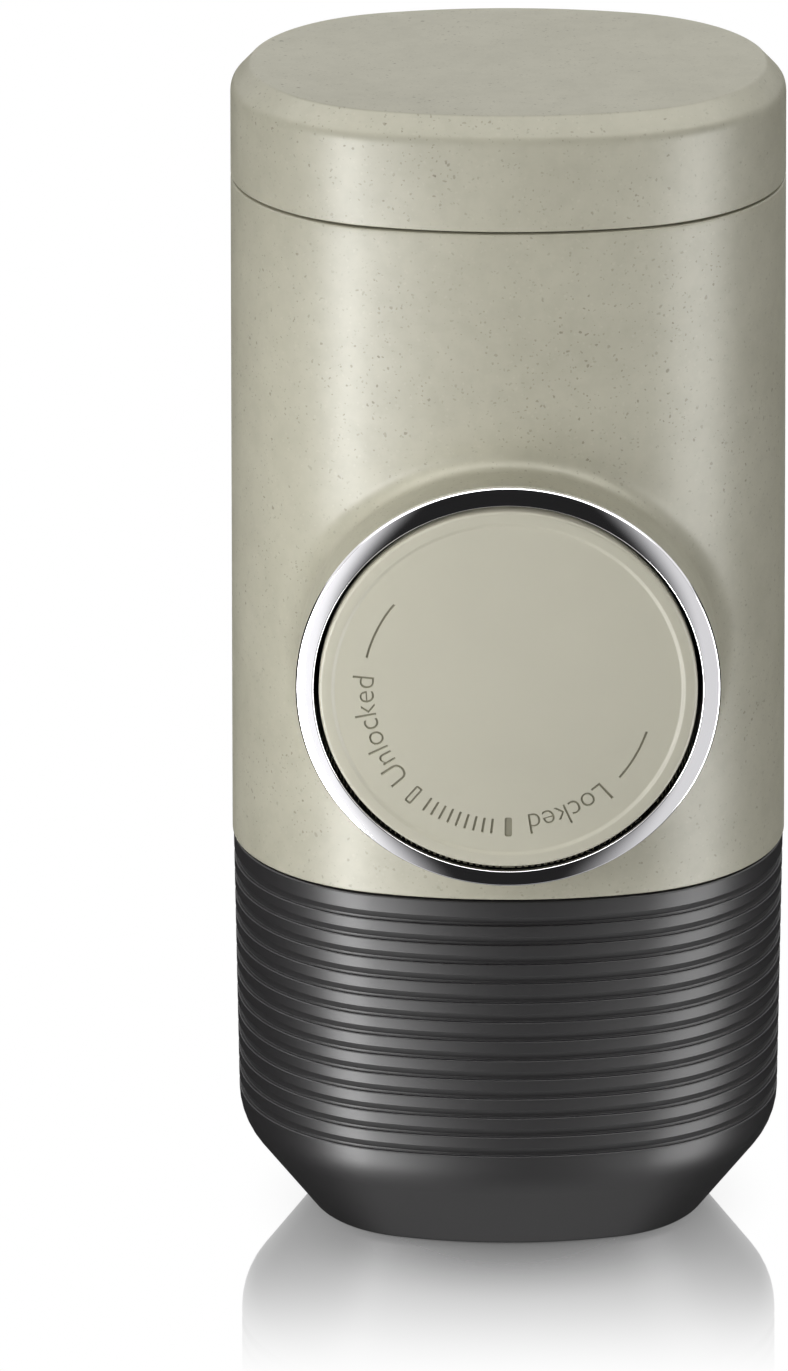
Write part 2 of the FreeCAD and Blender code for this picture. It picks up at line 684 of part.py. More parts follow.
# Rod guide in the mouth of the cylinder.
pieces["cylinder_gland"] = turned(
    "cylinder_gland",
    tube_points(
        "hub_bore",
        "bore_radius - bond_fit",
        "cylinder_mouth + gland_inset",
        "cylinder_mouth + gland_inset + gland_length",
    ),
    lying=True,
)

# Return spring between the web of the button and the well floor, drawn compressed.
spring = pieces["return_spring"] = new_body("return_spring")
outline = new_sketch(spring, "XZ_Plane")
draw_polygon(
    outline,
    tube_points(
        "spring_radius - spring_wire",
        "spring_radius + spring_wire",
        "web_back + spring_gap",
        "web_back + spring_gap + 2 * spring_wire",
    ),
)
coil = spring.newObject("PartDesign::AdditiveHelix", "return_spring_coil")
coil.Profile = outline
coil.ReferenceAxis = (outline, ["V_Axis"])
coil.Mode = "height-turns-angle"
follow(coil, "Height", "well_depth - web_back - 2 * spring_wire - 2 * spring_gap")
follow(coil, "Turns", "spring_turns")
spring.Tip = coil
lay_down(spring)

# Water tubes: up, across at one height, and up again.
def bent_tube(name, start, across, end):
    """start and end are (depth, height) on the middle plane; across is the height of the level run."""
    body = pieces[name] = new_body(name)
    path = new_sketch(body, "YZ_Plane")
    corners = [start, (start[0], across), (end[0], across), end]
    spots = [Vector(value(depth), value(height), 0) for depth, height in corners]
    runs = [path.addGeometry(Part.LineSegment(here, there), False) for here, there in zip(spots, spots[1:])]
    for run, following in zip(runs, runs[1:]):
        path.addConstraint(Rule("Coincident", run, 2, following, 1))
    for run, corner in zip(runs, corners):
        pin_point(path, run, 1, *corner)
    pin_point(path, runs[-1], 2, *end)
    outline = new_sketch(body, "XY_Plane", start[1])
    draw_circle(outline, "tube_radius", "0", start[0])
    draw_circle(outline, "tube_bore", "0", start[0])
    pipe = body.newObject("PartDesign::AdditivePipe", name + "_sweep")
    pipe.Profile = outline
    pipe.Spine = path
    pipe.Transition = 1
    body.Tip = pipe


bent_tube(
    "outlet_tube",
    ("valve_line", "valve_top + bond_fit"),
    "deck_height - deck_thickness - tube_radius - tube_gap",
    ("0", "chamber_foot + chamber_wall / 2"),
)
bent_tube(
    "inlet_tube",
    ("inlet_offset", "closure_bottom + closure_thickness / 2"),
    "closure_top + tube_radius + 2 * tube_gap",
    ("valve_line", "valve_bottom - bond_fit"),
)

# Closure plate under the body with the threaded plug, and its fittings.
closure = pieces["closure_plate"] = new_body("closure_plate")
outline = new_sketch(closure, "XY_Plane", "closure_bottom")
draw_oval(outline, "shell_wall + bond_fit")
add(closure, outline, "closure_thickness")
outline = new_sketch(closure, "XY_Plane", "closure_bottom")
draw_circle(outline, "plug_radius")
draw_circle(outline, "plug_radius - plug_wall")
add(closure, outline, "plug_length", forward=False)
for radius, reach, across, along in (
    ("port_radius", "closure_thickness", "0", "inlet_offset"),
    ("vent_radius + bond_fit", "closure_thickness", "-vent_offset", "0"),
):
    outline = new_sketch(closure, "XY_Plane", "closure_bottom")
    draw_circle(outline, radius, across, along)
    cut(closure, outline, reach + " + cut_margin", forward=True)
outline = new_sketch(closure, "XY_Plane", "closure_top")
draw_circle(outline, "tube_radius + bond_fit", "0", "inlet_offset")
cut(closure, outline, "closure_thickness / 2 + bond_fit")

strainer_top = "closure_bottom - bond_fit"
strainer = pieces["strainer"] = turned(
    "strainer",
    [
        ("0", strainer_top + " - strainer_height"),
        ("strainer_radius", strainer_top + " - strainer_height"),
        ("strainer_radius", strainer_top),
        ("strainer_radius - strainer_wall", strainer_top),
        ("strainer_radius - strainer_wall", strainer_top + " - strainer_height + strainer_wall"),
        ("0", strainer_top + " - strainer_height + strainer_wall"),
    ],
)
follow(strainer, ".Placement.Base.y", "inlet_offset")

vent = pieces["air_valve"] = turned(
    "air_valve",
    [
        ("0", "closure_bottom - vent_crown"),
        ("vent_cap * 0.5", "closure_bottom - vent_crown"),
        ("vent_cap", "closure_bottom - bond_fit"),
        ("vent_radius", "closure_bottom - bond_fit"),
        ("vent_radius", "closure_top + bond_fit"),
        ("vent_radius * 1.7", "closure_top + bond_fit"),
        ("0", "closure_top + vent_knob"),
    ],
)
follow(vent, ".Placement.Base.x", "-vent_offset")

# Capsule chamber on the deck, with piercing plate and gasket.
chamber_outer = "chamber_bore + chamber_wall"
pieces["capsule_chamber"] = turned(
    "capsule_chamber",
    [
        ("tube_radius + bond_fit", "chamber_foot"),
        (chamber_outer, "chamber_foot"),
        (chamber_outer, "rim_height - rim_length - rim_radius + chamber_bore + chamber_wall"),
        ("rim_radius", "rim_height - rim_length"),
        ("rim_radius", "rim_height"),
        ("flange_recess", "rim_height"),
        ("flange_recess", "rim_height - recess_depth"),
        ("chamber_bore", "rim_height - recess_depth"),
        ("chamber_bore", "chamber_foot + chamber_wall"),
        ("tube_radius + bond_fit", "chamber_foot + chamber_wall"),
    ],
)
plate = pieces["piercing_plate"] = new_body("piercing_plate")
base_sketch = new_sketch(plate, "XY_Plane", "plate_foot")
draw_circle(base_sketch, "chamber_bore - bond_fit")
draw_circle(base_sketch, "port_radius")
add(plate, base_sketch, "plate_thickness")
pin = plate.newObject("PartDesign::AdditiveCone", "piercing_pin")
follow(pin, "Radius1", "pin_radius")
follow(pin, "Radius2", "pin_radius * 0.15")
follow(pin, "Height", "pin_height")
follow(pin, ".Placement.Base.x", "pin_circle")
follow(pin, ".Placement.Base.z", "plate_foot + plate_thickness")
plate.Tip = pin
pins = plate.newObject("PartDesign::PolarPattern", "piercing_pins")
pins.Originals = [pin]
pins.Axis = (base_sketch, ["N_Axis"])
pins.Angle = 360
follow(pins, "Occurrences", "pin_count")
plate.Tip = pins
pieces["chamber_gasket"] = turned(
    "chamber_gasket",
    tube_points(
        "chamber_bore + gasket_inset",
        "flange_recess - bond_fit",
        "rim_height - recess_depth + bond_fit",
        "rim_height - 2 * bond_fit",
    ),
)

# Housing screws that hold the pump block to the bosses.
screws = []
seat = "foot_front - bond_fit"
for side, level in ((-1, -1), (-1, 1), (1, -1), (1, 1)):
    screw = new_body("housing_screw_%d" % (len(screws) + 1))
    turn(
        screw,
        [
            ("0", seat + " - screw_crown"),
            ("screw_head * 0.8", seat + " - screw_crown"),
            ("screw_head", seat),
            ("screw_radius", seat),
            ("screw_radius", "cylinder_root + boss_length - screw_gap"),
            ("0", "cylinder_root + boss_length - screw_gap"),
        ],
    )
    lay_down(screw, "%d * screw_spread" % side, "%d * screw_rise" % level)
    screws.append(screw)
pieces["housing_screws"] = combine("Part::Compound", "housing_screws", screws[0], screws[1:])

# Plunger: rod, retaining clip, piston head with two seals and its screw.
pieces["piston_rod"] = turned(
    "piston_rod",
    [
        ("0", "button_plate + rod_gap"),
        ("rod_radius", "button_plate + rod_gap"),
        ("rod_radius", "web_front - seat_fit - clip_thickness - rod_groove"),
        ("rod_radius - clip_depth", "web_front - seat_fit - clip_thickness - rod_groove"),
        ("rod_radius - clip_depth", "web_front"),
        ("rod_radius", "web_front"),
        ("rod_radius", "flange_front"),
        ("rod_radius + flange_rise", "flange_front"),
        ("rod_radius + flange_rise", "flange_front + flange_length"),
        ("rod_radius", "flange_front + flange_length"),
        ("rod_radius", "head_front - bond_fit"),
        ("end_radius", "head_front - bond_fit"),
        ("end_radius", "head_front + head_length / 2 - bond_fit"),
        ("bolt_radius + bond_fit", "head_front + head_length / 2 - bond_fit"),
        ("bolt_radius + bond_fit", "head_front - bolt_reach"),
        ("0", "head_front - bolt_reach"),
    ],
    lying=True,
)
pieces["rod_clip"] = clip = new_body("rod_clip")
outline = new_sketch(clip, "XY_Plane", "web_front - seat_fit - clip_thickness")
draw_sector(outline, "rod_radius - clip_depth + bond_fit", "rod_radius + clip_rise", "-60", "240")
add(clip, outline, "clip_thickness")
lay_down(clip)
head_points = [("end_radius + bond_fit", "head_front"), ("head_outer", "head_front")]
seal_starts = ["head_front + seal_margin", "head_front + head_length - seal_margin - seal_width"]
for start in seal_starts:
    head_points += [
        ("head_outer", start),
        ("seal_bottom", start),
        ("seal_bottom", start + " + seal_width"),
        ("head_outer", start + " + seal_width"),
    ]
head_points += [
    ("head_outer", "head_front + head_length"),
    ("bolt_radius * 2 + bond_fit", "head_front + head_length"),
    ("bolt_radius * 2 + bond_fit", "head_front + head_length - bolt_crown"),
    ("bolt_radius + bond_fit", "head_front + head_length - bolt_crown"),
    ("bolt_radius + bond_fit", "head_front + head_length / 2"),
    ("end_radius + bond_fit", "head_front + head_length / 2"),
]
pieces["piston_head"] = turned("piston_head", head_points, lying=True)
seals = []
for index, start in enumerate(seal_starts):
    seals.append(
        turned(
            "piston_seal_%d" % (index + 1),
            [
                ("seal_bottom + bond_fit", start + " + bond_fit"),
                ("head_outer", start + " + bond_fit"),
                ("bore_radius - seal_fit", start + " + seal_width * 0.3"),
                ("bore_radius - seal_fit", start + " + seal_width * 0.7"),
                ("head_outer", start + " + seal_width - bond_fit"),
                ("seal_bottom + bond_fit", start + " + seal_width - bond_fit"),
            ],
            lying=True,
        )
    )
pieces["piston_seals"] = combine("Part::Compound", "piston_seals", seals[0], seals[1:])
pieces["piston_screw"] = turned(
    "piston_screw",
    [
        ("0", "head_front - bolt_reach + bond_fit"),
        ("bolt_radius", "head_front - bolt_reach + bond_fit"),
        ("bolt_radius", "head_front + head_length - bolt_crown + bond_fit"),
        ("bolt_radius * 2", "head_front + head_length - bolt_crown + bond_fit"),
        ("bolt_radius * 2", "head_front + head_length - bond_fit"),
        ("0", "head_front + head_length - bond_fit"),
    ],
    lying=True,
)

# Button: face plate, and the skirt with web, hub and lugs.
pieces["button_face"] = turned(
    "button_face",
    [
        ("0", "button_dish"),
        ("button_radius - rim_width - rim_slope", "button_dish"),
        ("button_radius - rim_width", "0"),
        ("button_radius - rim_edge", "0"),
        ("button_radius", "rim_edge"),
        ("button_radius", "button_plate"),
        ("0", "button_plate"),
    ],
    lying=True,
)
skirt = pieces["button_skirt"] = new_body("button_skirt")
turn(
    skirt,
    [
        ("skirt_inner", "button_plate + bond_fit"),
        ("button_radius", "button_plate + bond_fit"),
        ("button_radius", "skirt_end"),
        ("skirt_inner", "skirt_end"),
        ("skirt_inner", "web_back"),
        ("hub_radius", "web_back"),
        ("hub_radius", "hub_end"),
        ("hub_bore", "hub_end"),
        ("hub_bore", "web_front"),
        ("skirt_inner", "web_front"),
    ],
)
outline = new_sketch(skirt, "XY_Plane", "lug_front")
draw_sector(
    outline,
    "skirt_inner - lug_rise",
    "skirt_inner + skirt_wall / 2",
    "90 - lug_span / 2",
    "90 + lug_span / 2",
)
lug = add(skirt, outline, "lug_length")
repeat_round(skirt, lug, "lug_count")
lay_down(skirt)

# Outlet head screwed over the chamber rim, with its plate and gasket.
outlet = pieces["outlet_head"] = new_body("outlet_head")
turn(
    outlet,
    [
        ("rim_radius + slide_fit", "outlet_bottom"),
        ("outlet_radius - outlet_edge", "outlet_bottom"),
        ("outlet_radius", "outlet_bottom + outlet_edge"),
        ("outlet_radius", "outlet_top - outlet_bevel"),
        ("outlet_radius - outlet_bevel", "outlet_top"),
        ("spout_radius + spout_flare", "outlet_top"),
        ("spout_radius", "outlet_top + outlet_bevel"),
        ("spout_radius - spout_taper", "spout_top"),
        ("spout_bore", "spout_top"),
        ("spout_bore", "outlet_top - outlet_roof"),
        ("rim_radius + slide_fit", "outlet_top - outlet_roof"),
    ],
)
outline = new_sketch(outlet, "XY_Plane", "outlet_top")
draw_circle(outline, "flute_radius", "outlet_radius + flute_radius - flute_depth", "0")
flute = cut(outlet, outline, "outlet_top - outlet_bottom - flute_stop")
repeat_round(outlet, flute, "flute_count")

disc = pieces["extraction_plate"] = new_body("extraction_plate")
outline = new_sketch(disc, "XY_Plane", "disc_foot")
draw_circle(outline, "rim_radius + slide_fit - bond_fit")
add(disc, outline, "disc_thickness")
outline = new_sketch(disc, "XY_Plane", "disc_foot")
draw_circle(outline, "disc_hole", "chamber_bore / 2", "0")
hole = cut(disc, outline, "disc_thickness", forward=True)
repeat_round(disc, hole, "hole_count")
pieces["outlet_gasket"] = turned(
    "outlet_gasket",
    tube_points(
        "chamber_bore + seal_inset",
        "rim_radius + slide_fit - bond_fit",
        "seal_foot",
        "seal_foot + seal_height - bond_fit",
    ),
)

# Cup: outer cap, inner cup and sealing band.
cap = pieces["cup_cap"] = new_body("cup_cap")
outline = new_sketch(cap, "XY_Plane", "seam_height + joint_gap / 2")
draw_oval(outline, "(seam_height - parting_height) * tan(body_draft * 1 deg)")
block = add(cap, outline, "total_height - seam_height - joint_gap / 2", taper="-body_draft")
slope = bevel(cap, block, level_edges(block, "total_height"), "edge_drop", "edge_width")
soften(cap, slope, level_edges(slope, "total_height"), "edge_blend")
outline = new_sketch(cap, "XY_Plane", "seam_height + joint_gap / 2")
draw_oval(outline, "cup_wall")
cut(cap, outline, "total_height - seam_height - joint_gap / 2 - cup_roof", forward=True)

liner = pieces["cup_liner"] = new_body("cup_liner")
outline = new_sketch(liner, "XY_Plane", "liner_bottom")
draw_oval(outline, "cup_wall + bond_fit")
add(liner, outline, "liner_top - liner_bottom")
outline = new_sketch(liner, "XY_Plane", "liner_bottom")
draw_oval(outline, "cup_wall + bond_fit + liner_wall")
cut(liner, outline, "liner_top - liner_bottom - liner_wall", forward=True)
outline = new_sketch(liner, "XY_Plane", "band_foot")
draw_oval(outline, "cup_wall - cut_margin")
draw_oval(outline, "cup_wall + bond_fit + band_depth")
cut(liner, outline, "band_width", forward=True)
band = pieces["cup_band"] = new_body("cup_band")
outline = new_sketch(band, "XY_Plane", "band_foot + bond_fit")
draw_oval(outline, "shell_wall + seal_fit")
draw_oval(outline, "cup_wall + band_depth")
add(band, outline, "band_width - 2 * bond_fit")


# Tank: nested forms with parallel walls and the same sloped base.
def tank_form(name, inset, top, foot):
    """Solid tank shape inside the outer one at the given inset; the outside itself has draft and blends."""
    body = new_body(name)
    outside = inset == "0"
    sketch = new_sketch(body, "XY_Plane", top)
    draw_oval(sketch, "tank_inset + " + inset)
    draft = "-tank_draft" if outside else "0"
    block = add(body, sketch, "%s - (%s)" % (top, foot), forward=False, taper=draft)
    pitch = "(base_rise / base_inset)"
    crest = "(base_rise + (%s) * sqrt(1 + %s * %s))" % (inset, pitch, pitch)
    height = "%s - (%s) * %s - (%s)" % (crest, inset, pitch, foot)
    width = "(%s - (%s)) / %s - (%s)" % (crest, foot, pitch, inset)
    sloped = bevel(body, block, level_edges(block, foot), height, width)
    if outside:
        blended = soften(body, sloped, level_edges(sloped, height), "base_blend")
        soften(body, blended, level_edges(blended, foot), "base_edge")
    return body


outer_form = tank_form("sleeve_outside", "0", "parting_height - joint_gap / 2", "0")
for index in range(int(value("groove_count"))):
    lower = "groove_top - %d * groove_pitch" % index
    outline = new_sketch(outer_form, "XY_Plane", lower)
    draw_oval(outline, "-cut_margin")
    drawn_in = "(parting_height - (%s)) * tan(tank_draft * 1 deg)" % lower
    draw_oval(outline, "tank_inset + groove_depth + " + drawn_in)
    cut(outer_form, outline, "groove_width", forward=True)
sleeve_core = tank_form("sleeve_inside", "sleeve_wall", "parting_height - joint_gap / 2", "sleeve_wall")
pieces["tank_sleeve"] = combine("Part::Cut", "tank_sleeve", outer_form, sleeve_core)

reservoir = tank_form("reservoir_outside", "reservoir_inset", "mouth_height", "reservoir_inset")
water = tank_form("reservoir_inside", "water_inset", "mouth_height - reservoir_wall", "water_inset")
vessel = combine("Part::Cut", "reservoir_vessel", reservoir, water)
neck = turned(
    "reservoir_neck",
    tube_points("neck_bore", "neck_bore + neck_wall", "mouth_height - neck_length", "mouth_height"),
)
mouth = turned(
    "reservoir_mouth",
    tube_points("0", "neck_bore", "mouth_height - reservoir_wall - cut_margin", "mouth_height + cut_margin"),
)
joined = combine("Part::MultiFuse", "reservoir_joined", vessel, [neck])
pieces["tank_reservoir"] = combine("Part::Cut", "tank_reservoir", joined, mouth)
pieces["tank_gasket"] = turned(
    "tank_gasket",
    tube_points(
        "neck_bore + gasket_gap",
        "neck_bore + gasket_gap + gasket_width",
        "mouth_height + bond_fit",
        "closure_bottom - seat_fit",
    ),
)

doc.recompute()
faults = []
for thing in doc.Objects:
    if any(word in state for state in thing.State for word in ("Invalid", "Error")):
        faults.append("%s %s" % (thing.Name, thing.State))
for name, piece in pieces.items():
    piece.Label = name
    if piece.Shape.isNull() or not piece.Shape.isValid():
        faults.append(name + " has no valid shape")
if faults:
    raise RuntimeError("; ".join(faults))
os.makedirs("parts", exist_ok=True)
for piece in pieces.values():
    piece.Shape.exportStep("parts/%s.step" % piece.Label)
    print("%-18s %9.1f mm3" % (piece.Label, piece.Shape.Volume))
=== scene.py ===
import math
import bpy
import bmesh
from mathutils import Matrix, Vector


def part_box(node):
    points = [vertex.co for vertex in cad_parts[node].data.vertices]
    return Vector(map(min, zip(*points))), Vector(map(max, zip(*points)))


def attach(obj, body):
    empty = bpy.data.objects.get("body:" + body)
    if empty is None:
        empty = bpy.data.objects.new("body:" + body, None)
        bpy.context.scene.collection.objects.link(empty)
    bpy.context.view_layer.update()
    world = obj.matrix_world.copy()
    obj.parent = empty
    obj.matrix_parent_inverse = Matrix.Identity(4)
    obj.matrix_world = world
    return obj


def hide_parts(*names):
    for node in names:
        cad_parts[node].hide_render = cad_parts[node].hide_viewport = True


# Hand-held espresso maker. Sizes are millimetres where no note says metres; the meshes are in metres.
# The dial faces -Y. "Inset" is the distance inwards from the oval at the tank joint.

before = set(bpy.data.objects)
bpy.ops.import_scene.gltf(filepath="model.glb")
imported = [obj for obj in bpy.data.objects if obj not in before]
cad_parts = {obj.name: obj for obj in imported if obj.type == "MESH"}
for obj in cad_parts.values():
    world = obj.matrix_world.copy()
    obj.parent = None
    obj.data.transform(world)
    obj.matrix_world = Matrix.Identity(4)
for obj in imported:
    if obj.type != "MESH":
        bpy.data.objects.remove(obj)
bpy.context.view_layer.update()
mm = 0.001


def cadBox(node):
    low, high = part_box(node)
    return low / mm, high / mm


def level(node, top=False):
    low, high = cadBox(node)
    return high.z if top else low.z


print("frame loaded:", len(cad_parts), "nodes")


class Wire:
    # one output socket, so that sums on it can be written as Python
    def __init__(self, shader, socket):
        self.shader = shader
        self.socket = socket

    def sum(self, operation, first, second):
        return self.shader.node("Math", {"operation": operation}, {0: first, 1: second})

    def __add__(self, other):
        return self.sum("ADD", self, other)

    def __radd__(self, other):
        return self.sum("ADD", other, self)

    def __sub__(self, other):
        return self.sum("SUBTRACT", self, other)

    def __rsub__(self, other):
        return self.sum("SUBTRACT", other, self)

    def __mul__(self, other):
        return self.sum("MULTIPLY", self, other)

    def __rmul__(self, other):
        return self.sum("MULTIPLY", other, self)


class Shader:
    def __init__(self, name, world=None):
        holder = world or bpy.data.materials.new(name)
        holder.use_nodes = True
        self.holder = holder
        self.tree = holder.node_tree
        self.surface = self.tree.nodes.get("Principled BSDF")

    def node(self, kind, settings=None, inputs=None, output=0):
        made = self.tree.nodes.new("ShaderNode" + kind)
        for name, value in (settings or {}).items():
            setattr(made, name, value)
        for name, value in (inputs or {}).items():
            self.feed(made.inputs[name], value)
        return Wire(self, made.outputs[output])

    def feed(self, socket, value):
        if isinstance(value, Wire):
            self.tree.links.new(value.socket, socket)
        elif socket.type == "RGBA" and len(value) == 3:
            socket.default_value = (*value, 1)
        else:
            socket.default_value = value

    def set(self, **values):
        for name, value in values.items():
            self.feed(self.surface.inputs[socketNames[name]], value)

    def place(self):
        return self.node("TexCoord", output="Object")

    def noise(self, scale, detail=3, rough=0.5, place=None):
        values = {"Vector": place or self.place(), "Scale": scale, "Detail": detail, "Roughness": rough}
        return self.node("TexNoise", {}, values, "Fac")

    def between(self, value, low, high):
        # 0 below low, 1 above high, smooth in between
        values = {"Value": value, "From Min": low, "From Max": high}
        return self.node("MapRange", {"interpolation_type": "SMOOTHSTEP"}, values)

    def mix(self, share, first, second):
        # sockets by number, because the names of the colour ones repeat
        return self.node("Mix", {"data_type": "RGBA"}, {0: share, 6: first, 7: second}, 2)

    def bump(self, height, strength, distance):
        values = {"Height": height, "Strength": strength, "Distance": distance * mm}
        self.set(normal=self.node("Bump", {}, values))


socketNames = {
    "colour": "Base Color",
    "rough": "Roughness",
    "metal": "Metallic",
    "glass": "Transmission Weight",
    "normal": "Normal",
}


def tone(red, green, blue):
    # screen colour, 0 to 255, to the linear colour that a shader takes
    linear = []
    for part in (red, green, blue):
        part /= 255
        linear.append(part / 12.92 if part <= 0.04045 else ((part + 0.055) / 1.055) ** 2.4)
    return tuple(linear)


fleckLook = {
    "base": tone(181, 178, 160),
    "shade": tone(170, 167, 149),
    "fleck": tone(98, 88, 70),
    "paleFleck": tone(206, 203, 187),
    "rough": 0.37,
    # cell size in mm, share of the cells that hold a fleck, radius in cells, strength
    "sizes": ((0.7, 0.90, 0.22, 0.48), (1.4, 0.90, 0.16, 0.62), (3.1, 0.85, 0.09, 0.70)),
    "core": 0.6,  # part of a fleck's radius that is fully dark
    "drawEdge": 0.02,  # softness of the draw that says which cells hold a fleck
    "faintest": 0.3,  # strength of the faintest fleck beside the darkest
    # noises: repeats per metre, detail and roughness, then the values between which they act
    "cloud": (90, 4, 0.6),
    "cloudRange": (0.3, 0.7),
    "cloudShare": 0.6,  # the rest of the shade comes from the mottle
    "mottle": (420, 3, 0.6),
    "mottleRange": (0.35, 0.7),
    "spread": (60, 2, 0.5),
    "spreadRange": (0.4, 0.62),
    "thinnest": 0.45,  # strength where the flecks are sparse
    "bendScale": 1500,
    "bendDetail": 2,
    "bend": 0.7,  # mm by which the flecks' outlines wander
    "paleScale": 900,
    "paleRadius": (0.12, 0.2),  # full and none, in cells
    "paleStrength": 0.12,
    "grain": (2600, 3, 0.6),
    "grainRough": 0.08,  # added to the roughness by the grain, and by the flecks
    "fleckRough": 0.12,
    "fleckSink": 0.4,  # depth of a fleck beside that of the grain
    "bump": (0.14, 0.03),  # strength, and distance in mm
}


def fleckedPlastic():
    # beige composite with dark fibres and husks of uneven size
    shader = Shader("fleckedPlastic")
    place = shader.place()
    look = fleckLook
    cloud = shader.between(shader.noise(*look["cloud"], place), *look["cloudRange"])
    mottle = shader.between(shader.noise(*look["mottle"], place), *look["mottleRange"])
    cloudy = look["cloudShare"]
    colour = shader.mix(cloudy * cloud + (1 - cloudy) * mottle, look["base"], look["shade"])
    inputs = {"Vector": place, "Scale": look["bendScale"], "Detail": look["bendDetail"]}
    warp = shader.node("TexNoise", {}, inputs, "Color")
    bend = (look["bend"] * mm,) * 3
    bent = shader.node("VectorMath", {"operation": "MULTIPLY_ADD"}, {0: warp, 1: bend, 2: place})
    patches = shader.between(shader.noise(*look["spread"], place), *look["spreadRange"])
    spread = look["thinnest"] + (1 - look["thinnest"]) * patches
    marks = 0
    for size, share, radius, strength in look["sizes"]:
        inputs = {"Vector": bent, "Scale": 1 / (size * mm), "Randomness": 1.0}
        near = shader.node("TexVoronoi", {}, inputs, "Distance")
        cell = shader.node("TexVoronoi", {}, inputs, "Color")
        draw = shader.node("SeparateColor", {}, {"Color": cell}, "Red")
        reach = shader.node("SeparateColor", {}, {"Color": cell}, "Green")
        present = shader.between(draw, 1 - share, 1 - share + look["drawEdge"])
        speck = 1 - shader.between(near, radius * look["core"], radius)
        weight = look["faintest"] + (1 - look["faintest"]) * reach
        amount = present * speck * weight * spread * strength
        colour = shader.mix(amount, colour, look["fleck"])
        marks = amount + marks
    glint = shader.node("TexVoronoi", {}, {"Vector": bent, "Scale": look["paleScale"]}, "Distance")
    pale = (1 - shader.between(glint, *look["paleRadius"])) * look["paleStrength"]
    colour = shader.mix(pale, colour, look["paleFleck"])
    grain = shader.noise(*look["grain"], place)
    rough = look["rough"] + look["grainRough"] * grain + look["fleckRough"] * marks
    shader.set(colour=colour, rough=rough)
    shader.bump(grain - look["fleckSink"] * marks, *look["bump"])
    return shader.holder


plasticLook = {
    "cloud": (70, 3, 0.5),  # repeats per metre, detail, roughness
    "mottle": 0.06,  # share by which the colour gets darker and lighter
    "grainDetail": (3, 0.55),
    "glossSpread": 0.08,  # width of the band in which the roughness wanders
    "bump": 0.12,
}


def mouldedPlastic(name, colour, rough, grainSize=0.35, grainDepth=0.02, **fixed):
    # plain injection-moulded plastic: faint cloud in the colour, fine grain in the gloss
    shader = Shader(name)
    place = shader.place()
    look = plasticLook
    cloud = shader.noise(*look["cloud"], place)
    dark = tuple(part * (1 - look["mottle"]) for part in colour)
    light = tuple(min(1, part * (1 + look["mottle"])) for part in colour)
    grain = shader.noise(1 / (grainSize * mm), *look["grainDetail"], place)
    spread = look["glossSpread"]
    shader.set(colour=shader.mix(cloud, dark, light), rough=rough - spread / 2 + spread * grain, **fixed)
    shader.bump(grain, look["bump"], grainDepth)
    return shader.holder


metalLook = {
    "haze": (160, 3, 0.5),  # repeats per metre, detail, roughness
    "hazeRough": 0.03,
    "fine": (3500, 2, 0.5),
    "bump": (0.02, 0.004),  # strength, and distance in mm
}


def polishedMetal(name, colour, rough):
    shader = Shader(name)
    place = shader.place()
    look = metalLook
    haze = shader.noise(*look["haze"], place)
    fine = shader.noise(*look["fine"], place)
    shader.set(colour=colour, metal=1.0, rough=rough + look["hazeRough"] * haze)
    shader.bump(fine, *look["bump"])
    return shader.holder


looks = {
    "flecked_shell": fleckedPlastic(),
    "button_plastic": mouldedPlastic("buttonPlastic", tone(185, 182, 165), 0.42, grainDepth=0.003),
    # painted shade: the floors of the cut-in marks take this darker tone of the button's plastic, standing in
    # for the shade that falls in their recesses
    "mark": mouldedPlastic("buttonMarkShade", tone(128, 125, 106), 0.5),
    "dark_plastic": mouldedPlastic("darkPlastic", tone(46, 45, 46), 0.38),
    "inner_plastic": mouldedPlastic("innerPlastic", tone(58, 57, 57), 0.42),
    "liner_plastic": mouldedPlastic("linerPlastic", tone(52, 50, 50), 0.34),
    "bezel_chrome": polishedMetal("bezelChrome", tone(232, 231, 234), 0.05),
    "spring_steel": polishedMetal("springSteel", tone(176, 174, 170), 0.22),
    "seal_rubber": mouldedPlastic("sealRubber", tone(38, 37, 38), 0.6, grainSize=0.2),
    "tube_silicone": mouldedPlastic("tubeSilicone", tone(198, 196, 190), 0.35),
    "tank_plastic": mouldedPlastic("tankPlastic", tone(35, 34, 35), 0.39, grainDepth=0.008),
    "reservoir_plastic": mouldedPlastic("reservoirPlastic", tone(120, 118, 116), 0.22, glass=0.55),
}
print("materials made:", len(looks))


